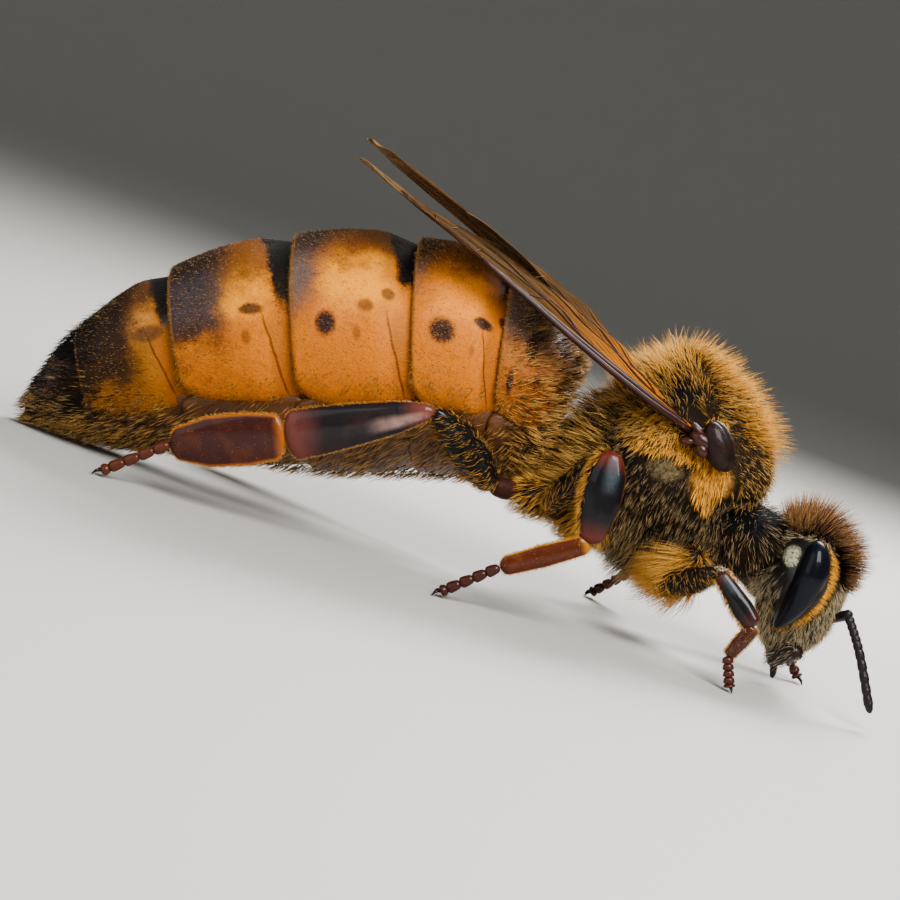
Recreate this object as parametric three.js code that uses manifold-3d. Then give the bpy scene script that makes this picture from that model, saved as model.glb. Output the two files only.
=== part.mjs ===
// A queen honey bee at life size, standing still: head to +X, its right side to -Y, its feet on z = 0.
// Millimetres, +Z up. Every named body part is one closed solid, parted from its neighbours by a thin cut.
// The outlines of head and thorax reach out to the tips of the coat.

import * as THREE from 'three';
import { mergeVertices } from 'three/addons/utils/BufferGeometryUtils.js';
import Module from 'manifold-3d';

const wasm = await Module();
wasm.setup();

// ---------------------------------------------------------------- driving dimensions, mm

const CUT = 0.05; // width of the cut between two body parts
const WELD = 1e-3; // vertices nearer than this are one
const THIN = 0.25; // half the least thickness of a wing, leg or feeler
const SIDES = { right: -1, left: 1 }; // the bee's right side lies on -Y

const THORAX = {
  centre: [3.9, 4.0], // x and z of the middle, on the plane of symmetry
  halfWidth: 2.28,
  facets: [26, 12], // round the side view, and from side to side
  // x and z round the side view, from the front of the neck over the back to the tail side
  outline: [
    [6.42, 4.05], [6.2, 5.02], [5.55, 5.8], [4.7, 6.42], [3.6, 6.74], [2.68, 6.36], [2.06, 5.5], [1.72, 4.4],
    [1.5, 3.3], [1.5, 2.4], [2.1, 1.75], [3.2, 1.48], [4.4, 1.42], [5.3, 1.85], [6.05, 2.85],
  ],
};

const HEAD = {
  centre: [7.5, 2.6],
  halfWidth: 1.86,
  crownNarrowing: 0.2, // how much narrower the head is at the crown than at the eyes
  chinNarrowing: 0.34,
  facets: [24, 12],
  outline: [
    [8.62, 2.7], [8.52, 3.55], [8.12, 4.24], [7.4, 4.62], [6.88, 4.42], [6.56, 3.9], [6.42, 3.2],
    [6.48, 2.4], [6.72, 1.5], [7.08, 0.86], [7.7, 0.66], [8.14, 1.06], [8.46, 1.84],
  ],
};

const EYE = {
  centre: [7.4, 1.44, 2.52],
  half: [0.38, 0.46, 1.06],
  lean: 0.1, // forward lean of the long axis, radians
  bow: 0.1, // how far the two ends curve back from the middle
  facets: [12, 8],
};

// The abdomen's cross-sections from the waist to the tail: each spans from the back line to the belly line.
const ABDOMEN = {
  sections: [
    { back: [1.32, 4.3], belly: [1.28, 3.9], halfWidth: 0.25 },
    { back: [1.12, 5.62], belly: [0.86, 2.82], halfWidth: 1.6 },
    { back: [-0.85, 6.95], belly: [0.2, 2.36], halfWidth: 2.3 },
    { back: [-2.95, 6.87], belly: [-1.25, 1.9], halfWidth: 2.46 },
    { back: [-5.6, 6.04], belly: [-3.45, 1.2], halfWidth: 2.44 },
    { back: [-7.98, 4.44], belly: [-5.85, 0.78], halfWidth: 2.06 },
    { back: [-9.55, 2.4], belly: [-8.1, 0.24], halfWidth: 1.3 },
    { back: [-10.22, 0.5], belly: [-10.1, 0.12], halfWidth: 0.3 },
  ],
  joints: [0, 2, 3, 4, 5, 6, 7], // the sections at which one segment ends and the next begins
  tuck: 0.03, // how much smaller a plate is where it slides under the one in front
  sides: 20,
  rings: 4, // from one section to the next
};

const NECK = { from: [5.5, 0, 2.95], to: [6.9, 0, 3.0], wide: [0.5, 0.5, 0.5] };
const WAIST = { from: [0.9, 0, 3.35], to: [2.1, 0, 3.3], wide: [0.42, 0.36, 0.42] };

const WING = {
  span: 9.2, // from hinge to tip
  edges: 26, // straight edges round a blade
  thickness: 2 * THIN,
  sunk: 0.2, // how much of the thickness lies below the line from hinge to tip
  arch: 0.42, // how far the middle rises above that line
  // along the span, and back from the leading edge, as shares of the span
  foreOutline: [
    [0, 0.02], [0.3, -0.012], [0.62, -0.012], [0.82, 0.02], [0.95, 0.09], [1.0, 0.165], [0.965, 0.235],
    [0.86, 0.29], [0.7, 0.285], [0.5, 0.215], [0.3, 0.13], [0.12, 0.06], [0, 0.05],
  ],
  hindOutline: [
    [0.13, 0.08], [0.22, 0.105], [0.34, 0.15], [0.5, 0.21], [0.64, 0.27], [0.68, 0.31],
    [0.6, 0.34], [0.44, 0.31], [0.32, 0.24], [0.2, 0.15], [0.13, 0.1],
  ],
  // slant is how much the blade rises towards the plane of symmetry
  right: { hinge: [4.06, 2.2, 4.88], tip: [-4.5, 2.9, 8.02], slant: 0.03 },
  left: { hinge: [4.06, 2.2, 4.96], tip: [-4.75, 2.8, 8.4], slant: 0.11 },
};

const TEGULA = { centre: [4.58, 2.12, 4.82], half: [0.36, 0.26, 0.5], lean: 0.5, facets: [10, 8] };

const FEELER = {
  root: [8.28, 0.36, 1.86],
  right: { elbow: [8.56, 1.12, 2.24], tip: [9.68, 1.5, 0.5] },
  left: { elbow: [8.3, 1.5, 2.3], tip: [8.12, 3.3, 1.1] },
  radius: THIN,
};

const JAW = { from: [7.86, 0.85, 0.98], to: [7.4, 0.31, 0.52], wide: [0.26, 0.3, THIN] };
const TONGUE = { from: [7.0, 0, 1.25], to: [7.66, 0, 0.26], wide: [0.3, 0.27, THIN] };

// Each leg's joints run from the hip to the foot, with y counted outwards from the plane of symmetry.
// Its parts are half as wide in the side view, and half as thick across, as listed from end to end.
const FOOT_HEIGHT = 0.12; // end of a sloping foot's centre line above the ground
const STEEP_FOOT_HEIGHT = -0.08; // a steep foot is pressed flat all over its end
const LEGS = {
  front: {
    right: [[5.1, 0.8, 2.4], [4.36, 1.3, 1.45], [5.56, 2.3, 2.32], [6.62, 2.5, 1.5], [6.3, 2.5, 0.72],
      [6.56, 2.52, STEEP_FOOT_HEIGHT]],
    left: [[5.1, 0.8, 2.4], [4.5, 1.3, 1.45], [5.9, 2.35, 2.3], [7.1, 2.45, 1.6], [7.75, 2.05, 0.78],
      [8.35, 1.75, FOOT_HEIGHT]],
    coxa: { wide: [0.42, 0.46, 0.34], thick: [0.4, 0.4, 0.32] },
    femur: { wide: [0.3, 0.33, 0.26], thick: [0.3, 0.3, 0.26] },
    tibia: { wide: [0.26, 0.29, 0.27], thick: [THIN, 0.26, 0.26] },
    basitarsus: { wide: [0.26, 0.26, THIN], thick: [THIN, THIN, THIN] },
    tarsus: { wide: [THIN, 0.26, 0.34], thick: [THIN, THIN, THIN] },
  },
  mid: {
    right: [[2.95, 0.8, 2.2], [1.6, 1.42, 2.3], [2.56, 2.9, 4.08], [2.74, 3.1, 2.08], [1.14, 3.3, 1.02],
      [0.12, 3.4, FOOT_HEIGHT]],
    left: [[2.95, 0.8, 2.2], [2.3, 1.5, 2.1], [3.5, 2.95, 3.9], [4.1, 3.2, 1.95], [4.0, 3.4, 0.9],
      [3.3, 3.6, FOOT_HEIGHT]],
    coxa: { wide: [0.5, 0.5, 0.34], thick: [0.45, 0.42, 0.32] },
    femur: { wide: [0.32, 0.4, 0.3], thick: [0.3, 0.34, 0.28] },
    tibia: { wide: [0.34, 0.48, 0.36], thick: [0.28, 0.32, 0.28] },
    basitarsus: { wide: [0.28, 0.3, 0.27], thick: [THIN, THIN, THIN] },
    tarsus: { wide: [THIN, 0.26, 0.34], thick: [THIN, THIN, THIN] },
  },
  hind: {
    right: [[2.0, 0.75, 2.55], [0.42, 1.45, 2.3], [-1.22, 3.0, 3.66], [-4.04, 3.15, 2.1], [-6.3, 3.2, 1.14],
      [-7.5, 3.25, FOOT_HEIGHT]],
    left: [[2.0, 0.75, 2.55], [0.42, 1.45, 2.3], [-1.0, 3.05, 3.5], [-3.7, 3.4, 1.95], [-5.9, 3.6, 1.05],
      [-7.1, 3.75, FOOT_HEIGHT]],
    coxa: { wide: [0.5, 0.46, 0.32], thick: [0.45, 0.42, 0.3] },
    femur: { wide: [0.34, 0.42, THIN], thick: [0.32, 0.34, THIN] },
    tibia: { wide: [0.26, 0.46, 0.54], thick: [THIN, 0.28, THIN] },
    basitarsus: { wide: [0.48, 0.56, 0.4], thick: [THIN, THIN, THIN] },
    tarsus: { wide: [THIN, 0.26, 0.34], thick: [THIN, THIN, THIN] },
  },
};
const LEG_PARTS = ['coxa', 'femur', 'tibia', 'basitarsus', 'tarsus'];

// ---------------------------------------------------------------- materials

const COLOURS = {
  fur: { color: 0xa07a3c, roughness: 0.95, metalness: 0 },
  amber: { color: 0xc8841e, roughness: 0.35, metalness: 0 },
  dark: { color: 0x2a1c16, roughness: 0.45, metalness: 0 },
  leg: { color: 0x4a1d12, roughness: 0.35, metalness: 0 },
  eye: { color: 0x0b0c12, roughness: 0.15, metalness: 0 },
  wing: { color: 0x8a5a22, roughness: 0.3, metalness: 0 },
};

// ---------------------------------------------------------------- solids

/** Reverses the triangles of a closed skin that a mirrored shape has turned inside out. */
function facingOut(geometry) {
  const { index, attributes: { position } } = geometry;
  const [a, b, c] = [new THREE.Vector3(), new THREE.Vector3(), new THREE.Vector3()];
  let volume = 0;
  for (let i = 0; i < index.count; i += 3) {
    a.fromBufferAttribute(position, index.getX(i));
    b.fromBufferAttribute(position, index.getX(i + 1));
    c.fromBufferAttribute(position, index.getX(i + 2));
    volume += a.dot(b.cross(c));
  }
  if (volume < 0) {
    index.array.reverse();
  }
  return geometry;
}

/** Moves every vertex of a primitive by `place`, and leaves one closed skin without normals. */
function shaped(geometry, place) {
  const points = geometry.attributes.position;
  const at = new THREE.Vector3();
  for (let i = 0; i < points.count; i += 1) {
    at.fromBufferAttribute(points, i);
    const to = place(at);
    points.setXYZ(i, to.x, to.y, to.z);
  }
  geometry.deleteAttribute('normal');
  geometry.deleteAttribute('uv');
  return facingOut(mergeVertices(geometry, WELD));
}

/** Turns a closed geometry into a solid that can be cut. */
function toSolid(geometry) {
  return new wasm.Manifold(new wasm.Mesh({
    numProp: 3,
    vertProperties: Float32Array.from(geometry.attributes.position.array),
    triVerts: Uint32Array.from(geometry.index.array),
  }));
}

/** Turns a solid back into a geometry. */
function toGeometry(solid) {
  const { vertProperties, triVerts } = solid.getMesh();
  const geometry = new THREE.BufferGeometry();
  geometry.setAttribute('position', new THREE.BufferAttribute(vertProperties, 3));
  geometry.setIndex(new THREE.BufferAttribute(triVerts, 1));
  return geometry;
}

/** Cuts each of the tools out of a geometry. */
function cut(geometry, ...tools) {
  return toGeometry(tools.reduce((solid, tool) => solid.subtract(toSolid(tool)), toSolid(geometry)));
}

/** Reads a row of evenly spaced values at `t` in 0..1, on a smooth curve through them. */
function along(values, t) {
  const last = values.length - 1;
  const place = THREE.MathUtils.clamp(t, 0, 1) * last;
  const i = Math.min(Math.floor(place), last - 1);
  const share = THREE.MathUtils.smoothstep(place - i, 0, 1);
  return THREE.MathUtils.lerp(values[i], values[i + 1], share);
}

/** A smooth curve in the plane of symmetry, through [x, z] pairs. */
function sideCurve(pairs, closed) {
  return new THREE.CatmullRomCurve3(pairs.map(([x, z]) => new THREE.Vector3(x, 0, z)), closed);
}

/** A rounded body whose side view is a closed outline: the poles of the sphere lie left and right. */
function outlineBody({ centre, outline, halfWidth, facets, narrowing = () => 1 }, grow = 0) {
  const [around, across] = facets;
  const curve = sideCurve(outline, true);
  const middle = new THREE.Vector3(centre[0], 0, centre[1]);
  return shaped(new THREE.SphereGeometry(1, around, across), (v) => {
    const turn = Math.atan2(v.z, v.x) / (2 * Math.PI);
    const reach = curve.getPoint((turn + 1) % 1).sub(middle);
    const ring = Math.hypot(v.x, v.z);
    reach.setLength(reach.length() + grow).multiplyScalar(ring);
    const to = middle.clone().add(reach);
    to.y = v.y * (halfWidth + grow) * narrowing(to.z);
    return to;
  });
}

/** An ellipsoid on one side of the bee, that leans in the side view. */
function egg({ centre, half, lean, facets, bow = 0 }, word, grow = 0) {
  const side = SIDES[word];
  const [around, across] = facets;
  const turn = new THREE.Matrix4().makeRotationY(lean);
  return shaped(new THREE.SphereGeometry(1, around, across), (v) => {
    const to = new THREE.Vector3(
      v.x * (half[0] + grow) - bow * v.z * v.z,
      v.y * (half[1] + grow),
      v.z * (half[2] + grow),
    ).applyMatrix4(turn);
    return to.add(new THREE.Vector3(centre[0], side * centre[1], centre[2]));
  });
}

const LIMB_RINGS = [0, 0.08, 0.5, 0.92, 1]; // places of a limb's rings along its length
const LIMB_SIDES = 8;
const LIMB_END = 0.62; // radius of the flat end of a limb, as a share of the radius beside it

/** One joint of a limb: a straight rounded bar, `wide` in the side view and `thick` across. */
function limb({ from, to, wide, thick = wide }, grow = 0) {
  const start = new THREE.Vector3(...from);
  const end = new THREE.Vector3(...to);
  const axis = end.clone().sub(start).normalize();
  start.addScaledVector(axis, -grow);
  end.addScaledVector(axis, grow);
  const across = new THREE.Vector3(0, 1, 0).addScaledVector(axis, -axis.y).normalize();
  const up = across.clone().cross(axis);
  const rings = LIMB_RINGS.length - 1;
  const bar = new THREE.CylinderGeometry(1, 1, 1, LIMB_SIDES, rings);
  bar.rotateY(Math.PI / LIMB_SIDES);
  return shaped(bar, (v) => {
    const t = LIMB_RINGS[Math.round((v.y + 0.5) * rings)];
    const closing = t === 0 || t === 1 ? LIMB_END : 1;
    const point = start.clone().lerp(end, t);
    point.addScaledVector(up, -v.x * closing * (along(wide, t) + grow));
    point.addScaledVector(across, v.z * closing * (along(thick, t) + grow));
    point.z = Math.max(point.z, 0);
    return point;
  });
}

// ---------------------------------------------------------------- the bee

const bee = new THREE.Group();

/** Names a body part, gives it its own material and adds it to the bee. */
function add(name, geometry, finish) {
  geometry.computeVertexNormals();
  const mesh = new THREE.Mesh(geometry, new THREE.MeshStandardMaterial(COLOURS[finish]));
  mesh.name = name;
  bee.add(mesh);
}

/** A limb's spec with its y values put on one side of the bee. */
function onSide(spec, word) {
  const place = ([x, y, z]) => [x, SIDES[word] * y, z];
  return { ...spec, from: place(spec.from), to: place(spec.to) };
}

const thoraxTool = outlineBody(THORAX, CUT);
const headShape = {
  ...HEAD,
  narrowing: (z) => {
    const above = THREE.MathUtils.smoothstep(z, HEAD.centre[1], HEAD.outline[3][1]);
    const below = THREE.MathUtils.smoothstep(-z, -HEAD.centre[1], -HEAD.outline[10][1]);
    return 1 - HEAD.crownNarrowing * above - HEAD.chinNarrowing * below;
  },
};
const headTool = outlineBody(headShape, CUT);

// The abdomen's back line carries its half width in y.
const backLine = new THREE.CatmullRomCurve3(
  ABDOMEN.sections.map(({ back, halfWidth }) => new THREE.Vector3(back[0], halfWidth, back[1])),
);
const bellyLine = sideCurve(ABDOMEN.sections.map(({ belly }) => belly), false);

/** The abdomen's surface between two of its sections, as one segment with flat ends. */
function abdomenSegment(first, last, grow) {
  const steps = ABDOMEN.sections.length - 1;
  const margin = CUT / 2 / backLine.getLength();
  const begin = first / steps + (first > 0 ? margin : 0);
  const end = last / steps - (last < steps ? margin : 0);
  const rings = ABDOMEN.rings * (last - first);
  return shaped(new THREE.CylinderGeometry(1, 1, 1, ABDOMEN.sides, rings), (v) => {
    const share = v.y + 0.5;
    const t = THREE.MathUtils.lerp(begin, end, share);
    const top = backLine.getPoint(t);
    const halfWidth = top.y;
    const bottom = bellyLine.getPoint(t);
    const middle = top.setY(0).clone().add(bottom).multiplyScalar(0.5);
    const tucked = first > 0 ? ABDOMEN.tuck * (1 - THREE.MathUtils.smoothstep(share, 0, 0.4)) : 0;
    const depth = top.sub(middle);
    depth.setLength((depth.length() + grow) * (1 - tucked));
    const to = middle.addScaledVector(depth, v.x);
    to.y = v.z * (halfWidth + grow) * (1 - tucked);
    to.z = Math.max(to.z, 0);
    return to;
  });
}

/** The abdomen's segment number `i`, counted from the waist. */
function segment(i, grow = 0) {
  return abdomenSegment(ABDOMEN.joints[i], ABDOMEN.joints[i + 1], grow);
}

const abdomenTools = [segment(0, CUT), segment(1, CUT), segment(2, CUT)];

/** The abdomen in six segments, amber but for the last two. */
function addAbdomen() {
  for (let i = 0; i < ABDOMEN.joints.length - 1; i += 1) {
    add(`abdomen_${i + 1}`, segment(i), i < 4 ? 'amber' : 'dark');
  }
}

/** One wing blade, arched from hinge to tip. As a tool it grows in its own plane and in thickness. */
function wingBlade(outline, word, grow = 0, thicken = grow) {
  const { span, thickness, sunk, arch } = WING;
  const { hinge, tip, slant } = WING[word];
  const side = SIDES[word];
  const edge = new THREE.CatmullRomCurve3(outline.map(([s, c]) => new THREE.Vector3(s, c, 0)), true);
  const centre = new THREE.Box3().setFromPoints(edge.points).getCenter(new THREE.Vector3());
  const ring = edge.getPoints(WING.edges).slice(0, -1).map((point) => {
    const out = point.clone().sub(centre);
    const grown = point.addScaledVector(out.normalize(), grow / span);
    return new THREE.Vector2(grown.x, grown.y);
  });
  const blade = new THREE.ExtrudeGeometry(new THREE.Shape(ring), {
    depth: 1, bevelEnabled: false, steps: 1,
  });
  const root = new THREE.Vector3(hinge[0], side * hinge[1], hinge[2]);
  const lengthways = new THREE.Vector3(tip[0], side * tip[1], tip[2]).sub(root).normalize();
  const inwards = new THREE.Vector3(0, -side, slant);
  inwards.addScaledVector(lengthways, -inwards.dot(lengthways)).normalize();
  const upwards = new THREE.Vector3().crossVectors(lengthways, inwards).normalize();
  upwards.multiplyScalar(Math.sign(upwards.z));
  return shaped(blade, (v) => {
    const rise = arch * Math.sin(Math.PI * THREE.MathUtils.clamp(v.x, 0, 1));
    const height = THREE.MathUtils.lerp(-sunk - thicken, thickness - sunk + thicken, v.z) + rise;
    return root.clone()
      .addScaledVector(lengthways, v.x * span)
      .addScaledVector(inwards, v.y * span)
      .addScaledVector(upwards, height);
  });
}

/** The two wings of one side: the left pair lies over the right pair, the hindwing behind the forewing. */
function addWings(word) {
  const body = [thoraxTool, egg(TEGULA, word, CUT), ...abdomenTools];
  const under = word === 'left' ? [WING.foreOutline, WING.hindOutline] : [];
  body.push(...under.map((outline) => wingBlade(outline, 'right', CUT)));
  add(`forewing_${word}`, cut(wingBlade(WING.foreOutline, word), ...body), 'wing');
  body.push(wingBlade(WING.foreOutline, word, CUT, WING.thickness));
  add(`hindwing_${word}`, cut(wingBlade(WING.hindOutline, word), ...body), 'wing');
}

/** The head with its eyes, feelers and mouthparts. */
function addHead() {
  const sockets = Object.keys(SIDES).map((word) => egg(EYE, word, CUT));
  add('head', cut(outlineBody(headShape), ...sockets), 'fur');
  for (const word of Object.keys(SIDES)) {
    add(`eye_${word}`, egg(EYE, word), 'eye');
    addFeeler(word);
    add(`mandible_${word}`, cut(limb(onSide(JAW, word)), headTool), 'dark');
  }
  const jaws = Object.keys(SIDES).map((word) => limb(onSide(JAW, word), CUT));
  add('tongue', cut(limb(TONGUE), headTool, ...jaws), 'dark');
}

/** A feeler in its two lengths: the straight scape, and the flagellum that hangs from its elbow. */
function addFeeler(word) {
  const { elbow, tip } = FEELER[word];
  const wide = [FEELER.radius, FEELER.radius];
  const scape = onSide({ from: FEELER.root, to: elbow, wide }, word);
  const flagellum = onSide({ from: elbow, to: tip, wide }, word);
  add(`antenna_${word}_scape`, cut(limb(scape), headTool), 'dark');
  add(`antenna_${word}_flagellum`, cut(limb(flagellum), limb(scape, CUT)), 'dark');
}

const hips = { right: [], left: [] }; // cutting tools of the hips made so far, on each side

/** One leg: each part is cut where the one above it ends, and the hips also clear the trunk. */
function addLeg(kind, word) {
  const leg = LEGS[kind];
  const joints = leg[word];
  const specs = LEG_PARTS.map((part, i) => (
    onSide({ from: joints[i], to: joints[i + 1], ...leg[part] }, word)
  ));
  LEG_PARTS.forEach((part, i) => {
    const tools = i < 2 ? [thoraxTool, ...abdomenTools, ...hips[word]] : [];
    if (i > 0) {
      tools.push(limb(specs[i - 1], CUT));
    }
    add(`${kind}_leg_${word}_${part}`, cut(limb(specs[i]), ...tools), i === 0 ? 'fur' : 'leg');
  });
  hips[word].push(limb(specs[0], CUT), limb(specs[1], CUT));
}

/** The thorax with what grows from it above, and the neck and waist that hold head and abdomen to it. */
function addThorax() {
  const sockets = Object.keys(SIDES).map((word) => egg(TEGULA, word, CUT));
  add('thorax', cut(outlineBody(THORAX), ...sockets), 'fur');
  for (const word of Object.keys(SIDES)) {
    add(`tegula_${word}`, egg(TEGULA, word), 'dark');
    addWings(word);
  }
  add('neck', cut(limb(NECK), thoraxTool, headTool), 'dark');
  add('petiole', cut(limb(WAIST), thoraxTool, abdomenTools[0]), 'dark');
}

addThorax();
addHead();
addAbdomen();
for (const kind of Object.keys(LEGS)) {
  for (const word of Object.keys(SIDES)) {
    addLeg(kind, word);
  }
}

// The origin is the middle of the model's footprint, on the ground.
const box = new THREE.Box3().setFromObject(bee);
const middle = box.getCenter(new THREE.Vector3());
bee.position.set(-middle.x, -middle.y, -box.min.z);

export default bee;
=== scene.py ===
"""A queen honey bee at life size, standing still, dressed over its CAD frame.

Lengths are millimetres in the frame that the part's source is drawn in: x towards the head, the bee's
right side at negative y, the feet on z = 0. `to_metres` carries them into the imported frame.
"""

import logging
import math
from dataclasses import dataclass, field
from enum import Enum
from typing import Callable, Sequence

import bmesh
import bpy
import numpy as np
from mathutils import Matrix, Vector
from mathutils.kdtree import KDTree


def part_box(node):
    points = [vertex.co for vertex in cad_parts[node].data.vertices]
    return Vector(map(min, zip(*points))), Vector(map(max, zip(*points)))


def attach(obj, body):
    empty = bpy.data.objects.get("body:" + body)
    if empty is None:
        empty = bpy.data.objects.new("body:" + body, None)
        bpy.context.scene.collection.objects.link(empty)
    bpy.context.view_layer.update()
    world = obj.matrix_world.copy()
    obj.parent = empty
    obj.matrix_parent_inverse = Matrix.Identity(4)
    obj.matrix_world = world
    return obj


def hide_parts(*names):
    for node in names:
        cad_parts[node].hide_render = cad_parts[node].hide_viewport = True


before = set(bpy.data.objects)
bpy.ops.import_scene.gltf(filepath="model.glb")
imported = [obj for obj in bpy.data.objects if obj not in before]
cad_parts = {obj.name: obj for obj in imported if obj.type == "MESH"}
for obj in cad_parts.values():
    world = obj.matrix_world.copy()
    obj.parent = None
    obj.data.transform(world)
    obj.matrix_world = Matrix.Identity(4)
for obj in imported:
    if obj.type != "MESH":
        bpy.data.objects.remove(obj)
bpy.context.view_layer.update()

log = logging.getLogger("queen_bee")

Points = np.ndarray
Shares = np.ndarray
Field = Callable[[Points], np.ndarray]
Colour = str
Row = tuple[float, ...]
Floats = Sequence[float]
Pair = tuple[float, float]
Place = tuple[float, float, float]
Tile = tuple[float, float, float, float]
Steps = tuple[int, int]
Piece = bpy.types.Object
Material = bpy.types.Material

MM = 0.001
SIDES = {"right": -1.0, "left": 1.0}
TEGULA_CENTRE = (4.58, 2.12, 4.82)
SEAM = 0.0008 * MM  # points closer than this are one
FLOOR_GAP = 0.01  # how far the lowest hairs stay off the ground
PATCH = 0.003  # how wide one hair's patch is on the coat's unwrap
TRIES = 8  # places looked at for each hair that grows
THINNEST = 0.02  # the density at which no hair grows
BELLY_TURN = 180.0  # the belly's angle from the back
PLATE_ROWS = 6
FEELER_JOINTS = 10


def frame_shift() -> Points:
    """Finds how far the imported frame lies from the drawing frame, by the middle of the right tegula.

    Returns:
        The shift in millimetres.
    """
    low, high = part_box("tegula_right")
    middle = (np.array(low) + np.array(high)) / 2 / MM
    x, y, z = TEGULA_CENTRE
    return middle - np.array([x, -y, z])


SHIFT = frame_shift()


def to_metres(points: Points) -> Points:
    """Carries points from the drawing frame, in millimetres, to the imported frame, in metres."""
    return (np.asarray(points) + SHIFT) * MM


def rgb(colour: Colour) -> Row:
    """Turns a colour as written for screens, such as "c8841e", into linear light."""
    parts = (int(colour[i:i + 2], 16) / 255 for i in (0, 2, 4))
    return tuple(p / 12.92 if p <= 0.04045 else ((p + 0.055) / 1.055) ** 2.4 for p in parts)


def unit(vectors: Points) -> Points:
    """Gives each vector a length of one."""
    return vectors / np.maximum(np.linalg.norm(vectors, axis=-1, keepdims=True), 1e-9)


def ease(values: Shares, low: float, high: float) -> Shares:
    """Rises smoothly from 0 at low to 1 at high; falls where high is below low."""
    share = np.clip((np.asarray(values, float) - low) / (high - low), 0, 1)
    return share * share * (3 - 2 * share)


def spread(share: Shares, values: Floats) -> Shares:
    """Reads evenly spaced values at shares from 0 to 1."""
    return np.interp(share, np.linspace(0, 1, len(values)), values)


def travel(share: Shares) -> Shares:
    """Turns a share along a rounded joint into one of its length, closer together at both ends."""
    return 0.5 - 0.5 * np.cos(math.pi * np.clip(share, 0, 1))


def near(points: Points, place: Floats, size: float | Floats) -> Shares:
    """Is 1 at a place and fades to 0 about a size away, on both sides of the bee alike.

    Args:
        points: Places in the drawing frame.
        place: The middle, with y counted outwards.
        size: The reach, the same all round or along x, y and z.

    Returns:
        A share for each point.
    """
    folded = np.stack([points[:, 0], np.abs(points[:, 1]), points[:, 2]], axis=-1)
    away = (folded - np.array(place)) / np.array(size)
    return np.exp(-np.sum(away * away, axis=-1) * 1.5)


class Curve:
    """A smooth curve through points, with its parameter from 0 to 1 even from point to point."""

    def __init__(self, points: Sequence[Floats], closed: bool = False) -> None:
        """Works out the cubic of each stretch.

        Args:
            points: The points to go through.
            closed: Whether the last point joins the first.
        """
        given = np.array(points, float)
        if closed:
            ends = np.vstack([given[-1], given, given[0], given[1]])
        else:
            ends = np.vstack([2 * given[0] - given[1], given, 2 * given[-1] - given[-2]])
        self.closed = closed
        before, start, stop, after = ends[:-3], ends[1:-2], ends[2:-1], ends[3:]
        gaps = [np.sqrt(np.linalg.norm(b - a, axis=1, keepdims=True)) + 1e-9
                for a, b in ((before, start), (start, stop), (stop, after))]
        leave = ((start - before) / gaps[0] - (stop - before) / (gaps[0] + gaps[1])
                 + (stop - start) / gaps[1]) * gaps[1]
        arrive = ((stop - start) / gaps[1] - (after - start) / (gaps[1] + gaps[2])
                  + (after - stop) / gaps[2]) * gaps[1]
        self.terms = (start, leave, 3 * (stop - start) - 2 * leave - arrive, 2 * (start - stop) + leave + arrive)

    def at(self, share: Shares) -> Points:
        """Reads the curve.

        Args:
            share: Parameters; they wrap round on a closed curve and stop at the ends of an open one.

        Returns:
            One point for each parameter.
        """
        share = np.asarray(share, float)
        share = share % 1.0 if self.closed else np.clip(share, 0, 1)
        place = share * len(self.terms[0])
        stretch = np.minimum(place.astype(int), len(self.terms[0]) - 1)
        rest = (place - stretch)[..., None]
        start, leave, second, third = (term[stretch] for term in self.terms)
        return start + rest * (leave + rest * (second + rest * third))


# ---------------------------------------------------------------- surfaces


class Surface:
    """A smooth surface over two shares from 0 to 1: u around or across, v along."""

    def at(self, u: Shares, v: Shares) -> Points:
        """Gives the points of the surface, in the drawing frame."""
        raise NotImplementedError

    def core(self, u: Shares, v: Shares) -> Points:
        """Gives a point inside the body for each point of the surface."""
        raise NotImplementedError

    def lay(self, u: Shares, v: Shares) -> Points:
        """Gives three numbers for each point, for the finish to read."""
        return np.stack([u, v, np.zeros_like(u)], axis=-1)

    def normals(self, u: Shares, v: Shares) -> tuple[Points, Shares]:
        """Gives the outward direction and the area covered for each point.

        Args:
            u: Shares around.
            v: Shares along.

        Returns:
            Unit normals, and areas on one scale.
        """
        step = 2e-3
        across = self.at(u + step, v) - self.at(u - step, v)
        along = self.at(u, v + step) - self.at(u, v - step)
        normal = np.cross(across, along)
        area = np.linalg.norm(normal, axis=1)
        normal = unit(normal)
        outwards = np.sum(normal * (self.at(u, v) - self.core(u, v)), axis=1)
        return normal * np.where(outwards < 0, -1.0, 1.0)[:, None], area

    def scatter(self, count: int, rng: np.random.Generator,
                where: "Measure") -> tuple[Shares, Shares]:
        """Picks places on the surface, evenly by area and then by a density.

        Args:
            count: How many places.
            rng: The seeded source of chance.
            where: Gives the density for points and their shares.

        Returns:
            The shares u and v of the places.
        """
        u, v = rng.random((2, count * TRIES))
        _, area = self.normals(u, v)
        density = np.clip(where(self.at(u, v), u, v), 0, 1)
        order = np.argsort(np.log(rng.random(len(u))) / (area * density + 1e-12))[::-1][:count]
        order = order[density[order] > THINNEST]
        return u[order], v[order]


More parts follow.
